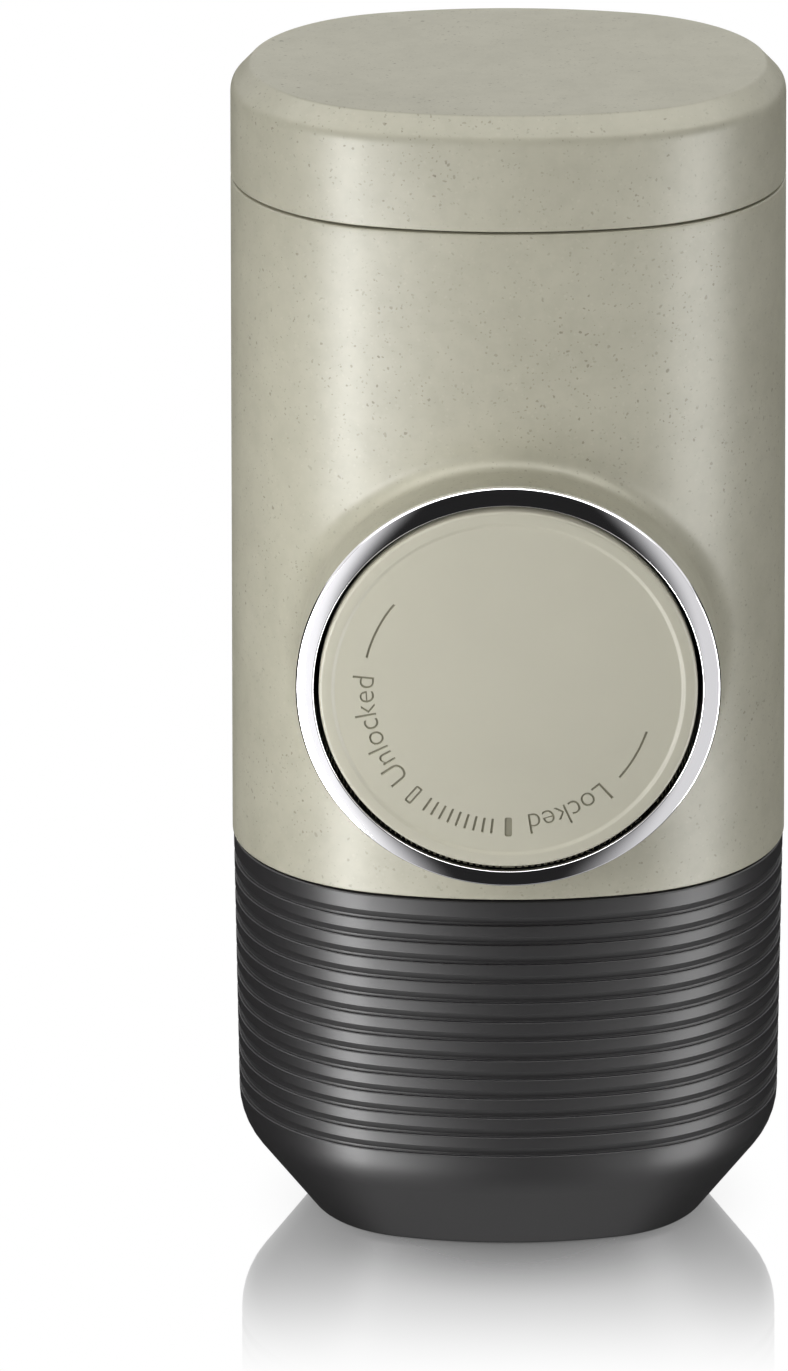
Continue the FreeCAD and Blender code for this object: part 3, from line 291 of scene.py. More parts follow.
class Oval:
    # eight tangent arcs; distance runs from the middle of the front towards +X
    slack = 1e-9  # rounding room where two arcs meet

    def __init__(self, width, depth, side, corner, front):
        sideShift = side - width / 2
        frontShift = front - depth / 2
        span = math.hypot(sideShift, frontShift)
        near, far = side - corner, front - corner
        lift = math.acos((near ** 2 + span ** 2 - far ** 2) / (2 * near * span))
        lean = math.atan2(-frontShift, sideShift) + lift
        x = near * math.cos(lean) - sideShift
        y = near * math.sin(lean)
        first = math.atan2(y, x + sideShift)
        second = math.atan2(y + frontShift, x)
        half = math.pi
        self.corner = (x, corner, second)
        self.arcs = []
        self.length = 0
        for centre, radius, start, end in (
            ((0, frontShift), front, -half / 2, -second),
            ((x, -y), corner, -second, -first),
            ((-sideShift, 0), side, -first, first),
            ((x, y), corner, first, second),
            ((0, -frontShift), front, second, half - second),
            ((-x, y), corner, half - second, half - first),
            ((sideShift, 0), side, half - first, half + first),
            ((-x, -y), corner, half + first, half + second),
            ((0, frontShift), front, half + second, 1.5 * half),
        ):
            self.arcs.append((self.length, centre, radius, start))
            self.length += radius * (end - start)

    def at(self, distance, inset=0):
        distance %= self.length
        passed = [arc for arc in self.arcs if arc[0] <= distance + self.slack]
        began, centre, radius, start = passed[-1]
        angle = start + (distance - began) / radius
        reach = radius - inset
        return centre[0] + reach * math.cos(angle), centre[1] + reach * math.sin(angle)

    def frontDistance(self, x):
        # distance along the outline of the point on the front that lies at x
        cornerX, radius, second = self.corner
        frontRadius = self.arcs[0][2]
        reach = abs(x)
        onFront = math.asin(min(1, reach / frontRadius))
        if onFront <= math.pi / 2 - second:
            found = frontRadius * onFront
        else:
            angle = -math.acos(min(1, (reach - cornerX) / radius))
            found = self.arcs[1][0] + radius * (angle + second)
        return math.copysign(found, x)

    def row(self, inset, height, count):
        return [Vector((*self.at(self.length * i / count, inset), height)) for i in range(count)]


def roundProfile(points, steps=6):
    # (across, along, radius) corners to plain points, each radius as an arc
    out = []
    for i, (across, along, radius) in enumerate(points):
        here = Vector((across, along))
        if radius == 0 or i in (0, len(points) - 1):
            out.append(here)
            continue
        before = (Vector(points[i - 1][:2]) - here).normalized()
        after = (Vector(points[i + 1][:2]) - here).normalized()
        opening = before.angle(after)
        reach = radius / math.tan(opening / 2)
        centre = here + (before + after).normalized() * (radius / math.sin(opening / 2))
        start = here + before * reach - centre
        end = here + after * reach - centre
        sweep = math.pi - opening
        turn = math.copysign(sweep, start.x * end.y - start.y * end.x)
        for step in range(steps + 1):
            angle = turn * step / steps
            out.append(centre + Matrix.Rotation(angle, 2) @ start)
    return out


def addFace(mesh, corners):
    distinct = []
    for corner in corners:
        if corner not in distinct:
            distinct.append(corner)
    if len(distinct) > 2:
        mesh.faces.new(distinct)


tiny = 1e-7  # a length below this counts as none


def skin(mesh, rows, loop=False, skip=None):
    # quads between rows of points; a row whose points all meet becomes one point
    rings = []
    for row in rows:
        meets = all((point - row[0]).length < tiny for point in row)
        one = mesh.verts.new(row[0] * mm) if meets else None
        rings.append([one or mesh.verts.new(point * mm) for point in row])
    pairs = list(zip(rings, rings[1:])) + ([(rings[-1], rings[0])] if loop else [])
    for j, (lower, upper) in enumerate(pairs):
        for i in range(len(lower)):
            if skip is None or not skip(i, j):
                k = (i + 1) % len(lower)
                addFace(mesh, (lower[i], lower[k], upper[k], upper[i]))
    return rings


sharpAngle = math.radians(35)  # edges that turn by more are drawn sharp


def finishMesh(mesh, name, look, body, replaced=()):
    bmesh.ops.recalc_face_normals(mesh, faces=mesh.faces)
    data = bpy.data.meshes.new(name)
    mesh.to_mesh(data)
    mesh.free()
    piece = bpy.data.objects.new(name, data)
    bpy.context.scene.collection.objects.link(piece)
    data.materials.append(looks[look])
    data.shade_smooth()
    data.set_sharp_from_angle(angle=sharpAngle)
    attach(piece, body)
    if replaced:
        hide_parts(*replaced)
    return piece


def loft(name, rows, look, body, loop=False, **extra):
    mesh = bmesh.new()
    rings = skin(mesh, rows, loop)
    if not loop:
        for ring in (rings[0], rings[-1]):
            addFace(mesh, ring)
    return finishMesh(mesh, name, look, body, **extra)


def ovalLoft(name, profile, look, body, count=220, **extra):
    rows = [outline.row(inset, height, count) for inset, height in profile]
    return loft(name, rows, look, body, **extra)


def circleSpots(radius, count):
    # starts at the lowest point
    angles = [2 * math.pi * i / count - math.pi / 2 for i in range(count)]
    return [(radius * math.cos(angle), radius * math.sin(angle)) for angle in angles]


def lathe(name, profile, look, body, count, centre=(0, 0), **extra):
    # turned about an axis that runs back from the dial's face, beside its middle by centre
    right, up = centre
    rows = []
    for radius, along in profile:
        y = dial["front"] + along
        rows.append([Vector((x + right, y, dial["height"] + z + up)) for x, z in circleSpots(radius, count)])
    return loft(name, rows, look, body, **extra)


shellLow, shellHigh = cadBox("body_shell")
outline = Oval(
    width=shellHigh.x - shellLow.x,
    depth=2 * shellHigh.y,
    side=38,
    corner=25,
    front=64,
)
joint = {"gap": 0.3, "draft": 0.45}  # gap in mm above the tank, draft in degrees
joint["parting"] = level("tank_sleeve", True) + joint["gap"] / 2


def drawnIn(height):
    # body and cup get narrower upwards
    return (height - joint["parting"]) * math.tan(math.radians(joint["draft"]))


faceLow, faceHigh = cadBox("button_face")
dial = {"front": faceLow.y, "height": (faceLow.z + faceHigh.z) / 2}


# Cup: outer cap.
capSize = {
    "wall": 2.3,
    "roof": 2.2,
    "slopeWidth": 2.5,
    "slopeDrop": 2.65,
    "topBlend": 0.7,
    "creaseBlend": 2.2,
    "innerBlend": 0.8,
    "lip": 0.25,
    "flat": 4,  # width of the ring round the large closing face
}


def makeCap():
    low, high = level("cup_cap"), level("cup_cap", True)
    size = capSize
    profile = roundProfile([
        (size["wall"] + size["flat"], high - size["roof"], 0),
        (size["wall"], high - size["roof"], size["innerBlend"]),
        (size["wall"], low, size["lip"]),
        (drawnIn(low), low, size["lip"]),
        (drawnIn(high - size["slopeDrop"]), high - size["slopeDrop"], size["creaseBlend"]),
        (drawnIn(high) + size["slopeWidth"], high, size["topBlend"]),
        (drawnIn(high) + size["slopeWidth"] + size["flat"], high, 0),
    ])
    ovalLoft("cupCap", profile, "flecked_shell", "cup", replaced=["cup_cap"])


makeCap()

linerSize = {
    "inset": 2.35,
    "wall": 1.2,
    "edge": 0.5,
    "innerBlend": 1.2,
    "outerBlend": 1.0,
    "flat": 4,
    "band": (129.0, 131.0),
    "bandDepth": 0.6,
    "bandOut": 2.06,
    "bandCrown": 0.45,
    "bandRoom": 0.05,
    "bandSeam": 0.6,  # how far up the closed profile of the band starts and ends
    "outerEdge": 0.15,
    "innerEdge": 0.1,
}


def makeLiner():
    low, high = level("cup_liner"), level("cup_liner", True)
    size = linerSize
    inset = size["inset"]
    inside = inset + size["wall"]
    grooveFloor = inset + size["bandDepth"]
    foot, head = size["band"]
    profile = roundProfile([
        (inside + size["flat"], high - size["wall"], 0),
        (inside, high - size["wall"], size["innerBlend"]),
        (inside, low, size["edge"]),
        (inset, low, size["edge"]),
        (inset, foot, size["outerEdge"]),
        (grooveFloor, foot, size["innerEdge"]),
        (grooveFloor, head, size["innerEdge"]),
        (inset, head, size["outerEdge"]),
        (inset, high, size["outerBlend"]),
        (inside + size["flat"], high, 0),
    ])
    ovalLoft("cupLiner", profile, "liner_plastic", "cup", replaced=["cup_liner"])
    room = size["bandRoom"]
    deep = grooveFloor - room
    crown = size["bandOut"]
    seam = foot + size["bandSeam"]
    band = roundProfile([
        (deep, seam, 0),
        (deep, foot + room, size["innerEdge"]),
        (crown, foot + room, size["bandCrown"]),
        (crown, head - room, size["bandCrown"]),
        (deep, head - room, size["innerEdge"]),
        (deep, seam, 0),
    ])
    ovalLoft("cupBand", band[:-1], "seal_rubber", "cup", loop=True, replaced=["cup_band"])


makeLiner()
print("cup made")


# Body: wall, collar with its soft foot, and the well of the button, as one skin.
bodySize = {
    "wall": 2.0,
    "lip": 0.25,
    "lipSteps": 4,
    "collar": 26.4,
    "collarEnd": 1.35,  # behind the dial's face, and so is the depth of the well
    "collarBlend": 2.3,
    "well": 24.15,
    "wellDepth": 27,
    "wellFloor": 2,
    "window": 10.2,
    "mouthEdge": 0.15,
    "floorEdge": 0.4,
    "columns": 184,
    "rows": 76,
    "patch": 33.5,  # half side of the square of the wall that the collar's rings take
    "outerRings": 8,
    "innerRings": 4,
    "blendRings": 10,
}


def makeBody():
    size = bodySize
    low, high = level("body_shell"), level("body_shell", True)
    count, tall = size["columns"], size["rows"]
    lip, wall = size["lip"], size["wall"]
    step = (high - low - 2 * lip) / tall
    heights = [low + lip + step * k for k in range(tall + 1)]
    outer = [(drawnIn(height), height) for height in heights]
    turns = [math.pi / 2 * k / size["lipSteps"] for k in range(1, size["lipSteps"])]
    turn = [(lip * (1 - math.cos(angle)), lip * (1 - math.sin(angle))) for angle in turns]
    above = [(drawnIn(high) + inset, high - rest) for inset, rest in turn]
    above += [(drawnIn(high) + lip, high), (wall - lip, high), (wall, high - lip)]
    inner = [(wall, height) for height in heights[::-1]]
    below = [(wall - lip, low), (lip, low)]
    below += [(inset, low + rest) for inset, rest in turn[::-1]]
    profile = outer + above + inner + below
    rows = [outline.row(inset, height, count) for inset, height in profile]
    across = outline.length / count
    reach = round(size["patch"] / across)
    lowest = max(0, round((dial["height"] - size["patch"] - low - lip) / step))
    highest = min(tall, round((dial["height"] + size["patch"] - low - lip) / step))
    innerStart = len(outer) + len(above)

    def inside(i, j):
        column = i if i < count / 2 else i - count
        if not -reach <= column < reach:
            return False
        if j < tall:
            return lowest <= j < highest
        mirrored = tall - 1 - (j - innerStart)
        return innerStart <= j < innerStart + tall and lowest <= mirrored < highest

    mesh = bmesh.new()
    rings = skin(mesh, rows, loop=True, skip=inside)
    # columns and rows round the rectangle that is left open, from its lower left corner
    frameSpots = [(c, lowest) for c in range(-reach, reach)]
    frameSpots += [(reach, r) for r in range(lowest, highest)]
    frameSpots += [(c, highest) for c in range(reach, -reach, -1)]
    frameSpots += [(-reach, r) for r in range(highest, lowest, -1)]
    spots = [(c * across, low + lip + r * step - dial["height"]) for c, r in frameSpots]
    angles = [math.atan2(height, distance) for distance, height in spots]
    foot = size["collar"] + size["collarBlend"]

    def wallPoint(distance, height, inset=None):
        z = dial["height"] + height
        x, y = outline.at(distance, drawnIn(z) if inset is None else inset)
        return Vector((x, y, z))

    def rimRings(radius, steps, inset=None):
        # rings from the rectangle to a circle that is drawn on the wall
        made = []
        for k in range(1, steps + 1):
            share = k / steps
            ring = []
            for (distance, height), angle in zip(spots, angles):
                x, z = radius * math.cos(angle), radius * math.sin(angle)
                aim = outline.frontDistance(x)
                ring.append(wallPoint(distance + (aim - distance) * share,
                                      height + (z - height) * share, inset))
            made.append(ring)
        return made

    def lyingRing(radius, along):
        return [Vector((radius * math.cos(a), dial["front"] + along, dial["height"] + radius * math.sin(a)))
                for a in angles]

    chain = rimRings(foot, size["outerRings"])
    blend = size["collarBlend"]
    for k in range(1, size["blendRings"] + 1):
        turn = math.pi / 2 * k / size["blendRings"]
        radius = foot - blend * math.sin(turn)
        sink = blend * (1 - math.cos(turn))
        ring = []
        for angle in angles:
            x, z = radius * math.cos(angle), radius * math.sin(angle)
            point = wallPoint(outline.frontDistance(x), z)
            ring.append(point - Vector((0, sink, 0)))
        chain.append(ring)
    collar, well = size["collar"], size["well"]
    mouth, deep = size["collarEnd"], size["wellDepth"]
    back = deep + size["wellFloor"]
    small, large = size["mouthEdge"], size["floorEdge"]
    for radius, along in (
        (collar, mouth + small),
        (collar - small, mouth),
        (well + small, mouth),
        (well, mouth + small),
        (well, deep - large),
        (well - large, deep),
        (size["window"], deep),
        (size["window"], back),
        (collar - large, back),
        (collar, back - large),
    ):
        chain.append(lyingRing(radius, along))
    chain += rimRings(collar, size["innerRings"], size["wall"])[::-1]
    first = [rings[r][c % count] for c, r in frameSpots]
    last = [rings[innerStart + tall - r][c % count] for c, r in frameSpots]
    loops = [first] + [[mesh.verts.new(point * mm) for point in ring] for ring in chain] + [last]
    for one, two in zip(loops, loops[1:]):
        for i in range(len(one)):
            k = (i + 1) % len(one)
            addFace(mesh, (one[i], one[k], two[k], two[i]))
    finishMesh(mesh, "bodyWall", "flecked_shell", "main_body", replaced=["body_shell"])


makeBody()

deckSize = {"top": 110.8, "thick": 2.0, "bore": 2.95, "edge": 0.4, "wall": 1.9, "count": 160}


def makeDeck():
    # inner floor that carries the capsule chamber, with the hole of the water tube
    size = deckSize
    top, low = size["top"], size["top"] - size["thick"]
    bore, edge, count = size["bore"], size["edge"], size["count"]

    def boreRow(radius, height):
        return [Vector((x, y, height)) for x, y in circleSpots(radius, count)]

    rows = [
        boreRow(bore, low),
        outline.row(size["wall"], low, count),
        outline.row(size["wall"], top, count),
        boreRow(bore + edge, top),
        boreRow(bore, top - edge),
    ]
    loft("deckPlate", rows, "flecked_shell", "main_body", loop=True, replaced=["body_shell"])


makeDeck()

# Screw bosses of the pump; front and end are distances behind the dial's face.
bossSize = {
    "radius": 3.4,
    "bore": 1.5,
    "edge": 0.3,
    "front": 51.55,
    "end": 57.75,
    "floor": 1.3,
    "spread": 17.5,
    "rise": 11,
    "count": 40,
}


def makeBosses():
    size = bossSize
    radius, bore, edge = size["radius"], size["bore"], size["edge"]
    front, end = size["front"], size["end"]
    profile = [
        (bore, front + edge),
        (bore + edge, front),
        (radius - edge, front),
        (radius, front + edge),
        (radius, end),
        (0, end),
        (0, end - size["floor"]),
        (bore, end - size["floor"]),
    ]
    for index, (side, rise) in enumerate(((-1, -1), (-1, 1), (1, -1), (1, 1))):
        centre = (side * size["spread"], rise * size["rise"])
        lathe("pumpBoss%d" % (index + 1), profile, "flecked_shell", "main_body", size["count"], centre,
              loop=True, replaced=["body_shell"])


makeBosses()
print("body made")


# Bezel ring round the button, as wide as the collar's end; front and reach are distances behind
# the dial's face.
bezelSize = {
    "front": 0.1,
    "fall": 0.62,
    "shoulder": 0.12,
    "shoulderFall": 0.35,
    "spigot": 25.2,
    "reach": 4.1,
    "room": 0.05,
    "seam": 1.5,  # how far behind its front the closed profile starts and ends
    "innerEdge": 0.16,
    "faceEdge": 0.3,
    "outerEdge": 0.12,
    "seatEdge": 0.05,
    "backEdge": 0.1,
    "count": 192,
}


def makeBezel():
    size = bezelSize
    inner, outer, front = bodySize["well"], bodySize["collar"], size["front"]
    seam = front + size["seam"]
    fallen = front + size["fall"]
    seat = bodySize["collarEnd"] - size["room"]
    profile = roundProfile([
        (inner, seam, 0),
        (inner, front, size["innerEdge"]),
        (outer - size["shoulder"], fallen, size["faceEdge"]),
        (outer, fallen + size["shoulderFall"], size["outerEdge"]),
        (outer, seat, size["seatEdge"]),
        (size["spigot"], seat, size["seatEdge"]),
        (size["spigot"], size["reach"], size["backEdge"]),
        (inner, size["reach"], size["backEdge"]),
        (inner, seam, 0),
    ])
    lathe("bezelRing", profile[:-1], "bezel_chrome", "main_body", size["count"], loop=True,
          replaced=["bezel_ring"])


makeBezel()


# Button: face plate with a raised rim, its marks cut in.
buttonSize = {
    "radius": 23.5,
    "rim": 1.55,
    "slope": 0.42,
    "dish": 0.3,
    "thick": 2.2,
    "edge": 0.45,
    "dishBlend": 0.5,
    "rimBlend": 0.4,
    "backEdge": 0.1,
    "middle": 20.4,  # radius of the single face that holds the marks
    "count": 360,
}

# Angles run clockwise from the lowest point, in degrees; radii and widths are millimetres.
markSize = {
    "depth": 0.22,
    "above": 0.5,  # how far the cutter starts in front of the button
    "bar": (0, 16.95, 19.5, 0.46),  # angle, inner and outer radius, half width
    "hollowBar": (40.3, 16.95, 19.5, 0.5),
    "barCorner": 0.25,
    "cornerSteps": 4,
    "outlineWidth": 0.26,
    "outlineCorner": 0.08,
    "ticks": (6.4, 33.6, 9, 17.2, 19.2, 0.16),  # first and last angle, number, radii, half width
    "tickCorner": 0.12,
    "strokes": ((103.7, 128.7), (-72.3, -50.0)),
    "strokeRadius": 18.05,
    "strokeWidth": 0.3,
    "strokeSteps": 24,
    "words": (("Locked", -42.7, -8.3), ("Unlocked", 48.0, 95.8)),
    "baseline": 16.65,
    "ascender": 2.7,
    "thinner": -0.009,
    "letterSteps": 5,
    "facing": 0.9,  # a deep face that looks forward by this much is the floor of one of the marks, and takes their painted shade
}


def onDial(angle, radius, along):
    turn = math.radians(angle)
    return Vector((-radius * math.sin(turn), dial["front"] + along, dial["height"] - radius * math.cos(turn)))


def sinkShape(mesh, spots, start, end):
    # prism over a closed outline of (angle, radius) spots
    near = [mesh.verts.new(onDial(angle, radius, start) * mm) for angle, radius in spots]
    far = [mesh.verts.new(onDial(angle, radius, end) * mm) for angle, radius in spots]
    mesh.faces.new(near)
    mesh.faces.new(far[::-1])
    for i in range(len(spots)):
        k = (i + 1) % len(spots)
        mesh.faces.new((near[i], far[i], far[k], near[k]))


def barSpots(angle, low, high, halfWidth, corner):
    # rounded bar that points outwards
    steps = markSize["cornerSteps"]
    spots = []
    for across, along, start in ((1, high, 0), (-1, high, 90), (-1, low, 180), (1, low, 270)):
        side = across * (halfWidth - corner)
        middle = along - corner if along == high else along + corner
        for step in range(steps + 1):
            turn = math.radians(start + 90 * step / steps)
            x, radius = side + corner * math.cos(turn), middle + corner * math.sin(turn)
            spots.append((angle + math.degrees(x / radius), radius))
    return spots


def arcSpots(start, end, radius, width):
    steps = markSize["strokeSteps"]
    angles = [start + (end - start) * k / steps for k in range(steps + 1)]
    return [(a, radius + width / 2) for a in angles] + [(a, radius - width / 2) for a in angles[::-1]]


def sinkWord(mesh, word, start, end, near, far):
    # flat letters, bent round the dial with their tops outwards
    size = markSize
    text = bpy.data.curves.new(word, "FONT")
    text.body = word
    text.size = 1
    text.offset = size["thinner"]
    text.extrude = 0.5  # any depth gives the letters a near and a far side
    text.resolution_u = size["letterSteps"]
    holder = bpy.data.objects.new(word, text)
    letters = bpy.data.meshes.new_from_object(holder)
    spots = [vertex.co for vertex in letters.vertices]
    left, right = min(p.x for p in spots), max(p.x for p in spots)
    tall = max(p.y for p in spots)
    for vertex in letters.vertices:
        x, y, z = vertex.co
        angle = start + (end - start) * (x - left) / (right - left)
        radius = size["baseline"] + y / tall * size["ascender"]
        vertex.co = onDial(angle, radius, near if z > 0 else far) * mm
    mesh.from_mesh(letters)
    bpy.data.objects.remove(holder)
    bpy.data.curves.remove(text)
    bpy.data.meshes.remove(letters)


def makeMarkCutter():
    size = markSize
    near, far = -size["above"], buttonSize["dish"] + size["depth"]
    mesh = bmesh.new()
    sinkShape(mesh, barSpots(*size["bar"], size["barCorner"]), near, far)
    first, last, count, low, high, half = size["ticks"]
    for k in range(count):
        angle = first + (last - first) * k / (count - 1)
        sinkShape(mesh, barSpots(angle, low, high, half, size["tickCorner"]), near, far)
    for start, end in size["strokes"]:
        sinkShape(mesh, arcSpots(start, end, size["strokeRadius"], size["strokeWidth"]), near, far)
    for word, start, end in size["words"]:
        sinkWord(mesh, word, start, end, near, far)
    # ring-shaped bar, as a band between two outlines
    angle, low, high, half = size["hollowBar"]
    thin = size["outlineWidth"]
    outer = barSpots(angle, low, high, half, size["barCorner"])
    inner = barSpots(angle, low + thin, high - thin, half - thin, size["outlineCorner"])
    loops = []
    for spots, along in ((outer, near), (outer, far), (inner, far), (inner, near)):
        loops.append([mesh.verts.new(onDial(a, r, along) * mm) for a, r in spots])
    for one, two in zip(loops, loops[1:] + loops[:1]):
        for i in range(len(one)):
            k = (i + 1) % len(one)
            mesh.faces.new((one[i], one[k], two[k], two[i]))
    bmesh.ops.remove_doubles(mesh, verts=mesh.verts, dist=tiny)
    bmesh.ops.recalc_face_normals(mesh, faces=mesh.faces)
    data = bpy.data.meshes.new("markCutter")
    mesh.to_mesh(data)
    mesh.free()
    cutter = bpy.data.objects.new("markCutter", data)
    bpy.context.scene.collection.objects.link(cutter)
    return cutter


def cutAway(piece, cutter):
    sink = piece.modifiers.new("sink", "BOOLEAN")
    sink.operation = "DIFFERENCE"
    sink.solver = "EXACT"
    sink.object = cutter
    bpy.context.view_layer.update()
    cutMesh = bpy.data.meshes.new_from_object(piece.evaluated_get(bpy.context.evaluated_depsgraph_get()))
    piece.modifiers.clear()
    old = piece.data
    piece.data = cutMesh
    bpy.data.meshes.remove(old)
    bpy.data.objects.remove(cutter)


def makeButton():
    size = buttonSize
    radius = size["radius"]
    rim = radius - size["rim"]
    profile = roundProfile([
        (size["middle"], size["dish"], 0),
        (rim - size["slope"], size["dish"], size["dishBlend"]),
        (rim, 0, size["rimBlend"]),
        (radius, 0, size["edge"]),
        (radius, size["thick"], size["backEdge"]),
        (size["middle"], size["thick"], 0),
    ])
    piece = lathe("buttonFace", profile, "button_plastic", "button", size["count"], replaced=["button_face"])
    cutAway(piece, makeMarkCutter())
    data = piece.data
    # the floors of the marks get the darker tone: painted shade of their recesses, not a colour of their own
    data.materials.append(looks["mark"])
    floor = (dial["front"] + size["dish"] + markSize["depth"] / 2) * mm
    for face in data.polygons:
        deep = floor < face.center.y < floor + markSize["depth"] * mm
        face.material_index = 1 if deep and face.normal.y < -markSize["facing"] else 0
    data.shade_smooth()
    data.set_sharp_from_angle(angle=sharpAngle)


makeButton()
print("dial made")


# Tank sleeve: drafted oval with fine grooves, sloped base.
tankSize = {
    "inset": 0.15,
    "draft": 0.6,
    "wall": 1.9,
    "baseRise": 12.9,
    "baseInset": 9.6,
    "baseBlend": 9.6,
    "baseEdge": 1.8,
    "baseFlat": 3,
    "topEdge": 0.25,
    "innerFlat": 4.6,
    "innerInset": 1.4,
    "innerEdge": 1.5,
    "innerBlend": 10,
    "innerTopEdge": 0.2,
    "grooves": 13,
    "firstGroove": 48.3,
    "lastGroove": 16.5,
    "grooveWidth": 1.2,
    "grooveDepth": 0.45,
    "grooveFloor": 0.3,
    "grooveEdge": 0.14,
    "arcSteps": 5,
    "count": 260,
}


def makeSleeve():
    size = tankSize
    top = level("tank_sleeve", True)
    slant = math.tan(math.radians(size["draft"]))
    edge = size["grooveEdge"]

    def wallAt(height):
        return size["inset"] + (top - height) * slant

    pitch = (size["firstGroove"] - size["lastGroove"]) / (size["grooves"] - 1)
    wall, rise = size["wall"], size["baseRise"]
    corner = size["baseInset"] + size["innerInset"]
    inner = [
        (corner + size["innerFlat"], wall, 0),
        (corner, wall, size["innerEdge"]),
        (wallAt(rise) + wall, rise, size["innerBlend"]),
        (size["inset"] + wall, top, size["innerTopEdge"]),
    ]
    outer = [(size["inset"], top, size["topEdge"])]
    for index in range(size["grooves"]):
        low = size["firstGroove"] - pitch * index
        high = low + size["grooveWidth"]
        floor = wallAt(low) + size["grooveDepth"]
        outer += [
            (wallAt(high), high, edge),
            (floor, low + size["grooveFloor"], edge / 2),
            (floor, low, edge / 2),
            (wallAt(low), low, edge),
        ]
    outer += [
        (wallAt(rise), rise, size["baseBlend"]),
        (wallAt(0) + size["baseInset"], 0, size["baseEdge"]),
        (wallAt(0) + size["baseInset"] + size["baseFlat"], 0, 0),
    ]
    profile = roundProfile(inner + outer, size["arcSteps"])
    ovalLoft("tankSleeve", profile, "tank_plastic", "tank", size["count"], replaced=["tank_sleeve"])


makeSleeve()
print("tank made")


# Threads of the tank and of the capsule chamber, as ridges on the plain cylinders.
threads = {
    # name: radius, ridge (inwards when negative), lowest, highest, pitch, width, look, body
    "plugThread": (20.6, 0.28, 42.6, 50.4, 2.6, 1.3, "inner_plastic", "main_body"),
    "neckThread": (21.2, -0.24, 41.0, 49.4, 2.6, 1.0, "reservoir_plastic", "tank"),
    "chamberThread": (20.2, 0.24, 131.2, 139.6, 2.4, 1.2, "inner_plastic", "main_body"),
}


threadShape = {"steps": 72, "root": 0.1, "crest": 0.22, "runOut": 5}  # steps and run-outs per turn


def makeThread(name, radius, ridge, lowest, highest, pitch, width, look, body):
    shape = threadShape
    turns = (highest - lowest) / pitch
    steps = round(turns * shape["steps"])
    root = math.copysign(shape["root"], -ridge)
    crest = shape["crest"]
    rows = []
    for k in range(steps + 1):
        share = k / steps
        angle = 2 * math.pi * turns * share
        grown = ridge * min(1, min(share, 1 - share) * turns * shape["runOut"])
        middle = lowest + (highest - lowest) * share
        ring = []
        for out, rise in ((root, -0.5), (grown, -crest), (grown, crest), (root, 0.5)):
            reach = radius + out
            ring.append(Vector((reach * math.cos(angle), reach * math.sin(angle), middle + rise * width)))
        rows.append(ring)
    loft(name, rows, look, body)


for name, sizes in threads.items():
    makeThread(name, *sizes)
print("threads made:", len(threads))


# CAD nodes that stay as they are take the finish of their slot.
slotsUsed = set()
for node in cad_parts.values():
    held = node.data.materials[0].name if node.data.materials else ""
    look = next((key for key in looks if held.startswith(key)), "inner_plastic")
    slotsUsed.add(look)
    node.data.materials.clear()
    node.data.materials.append(looks[look])
print("slots:", sorted(slotsUsed))


# Floor: white to the camera, with a mirror image and a contact shadow close to the object. Lengths in metres.
floorLook = {
    "size": 6.0,
    "grey": 0.82,
    "mirror": 0.62,  # share of mirror close to the object
    "mirrorRough": 0.03,
    "front": (-0.061, -0.014),  # the mirror comes up between these places on the Y axis
    "behind": (0.018, 0.040),  # and ends between these
    "wide": (0.0365, 0.041),  # and between these distances to the left and right
    "shade": 0.9,  # strength of the contact shadow
    "near": (0.012, 0.036),  # which fades between these distances from the middle
}


def makeFloor():
    mesh = bmesh.new()
    look = floorLook
    half = look["size"] / 2
    corners = [mesh.verts.new((x * half, y * half, 0)) for x, y in ((-1, -1), (1, -1), (1, 1), (-1, 1))]
    mesh.faces.new(corners)
    data = bpy.data.meshes.new("floor")
    mesh.to_mesh(data)
    mesh.free()
    floor = bpy.data.objects.new("floor", data)
    bpy.context.scene.collection.objects.link(floor)
    shader = Shader("floorLook")
    shader.set(colour=(look["grey"],) * 3, rough=0.5)
    place = shader.place()
    reach = shader.node("VectorMath", {"operation": "LENGTH"}, {0: place}, "Value")
    across, back = (shader.node("SeparateXYZ", {}, {"Vector": place}, axis) for axis in "XY")
    aside = shader.node("Math", {"operation": "ABSOLUTE"}, {0: across})
    gloss = shader.node("BsdfGlossy", {}, {"Color": (1, 1, 1), "Roughness": look["mirrorRough"]})
    mirror = look["mirror"] * shader.between(back, *look["front"])
    mirror = mirror * (1 - shader.between(back, *look["behind"]))
    mirror = mirror * (1 - shader.between(aside, *look["wide"]))
    plain = Wire(shader, shader.surface.outputs[0])
    white = shader.node("Emission", {}, {"Color": (1, 1, 1), "Strength": 1.0})
    camera = shader.node("LightPath", output="Is Camera Ray")
    shade = look["shade"] * (1 - shader.between(reach, *look["near"]))
    ground = shader.node("MixShader", {}, {0: camera * (1 - shade), 1: plain, 2: white})
    seen = shader.node("MixShader", {}, {0: camera * mirror, 1: ground, 2: gloss})
    shader.tree.links.new(seen.socket, shader.tree.nodes["Material Output"].inputs["Surface"])
    data.materials.append(shader.holder)
    # gloss and metal look through it at the lamps and the room
    floor.visible_glossy = False
    floor.visible_shadow = False


makeFloor()

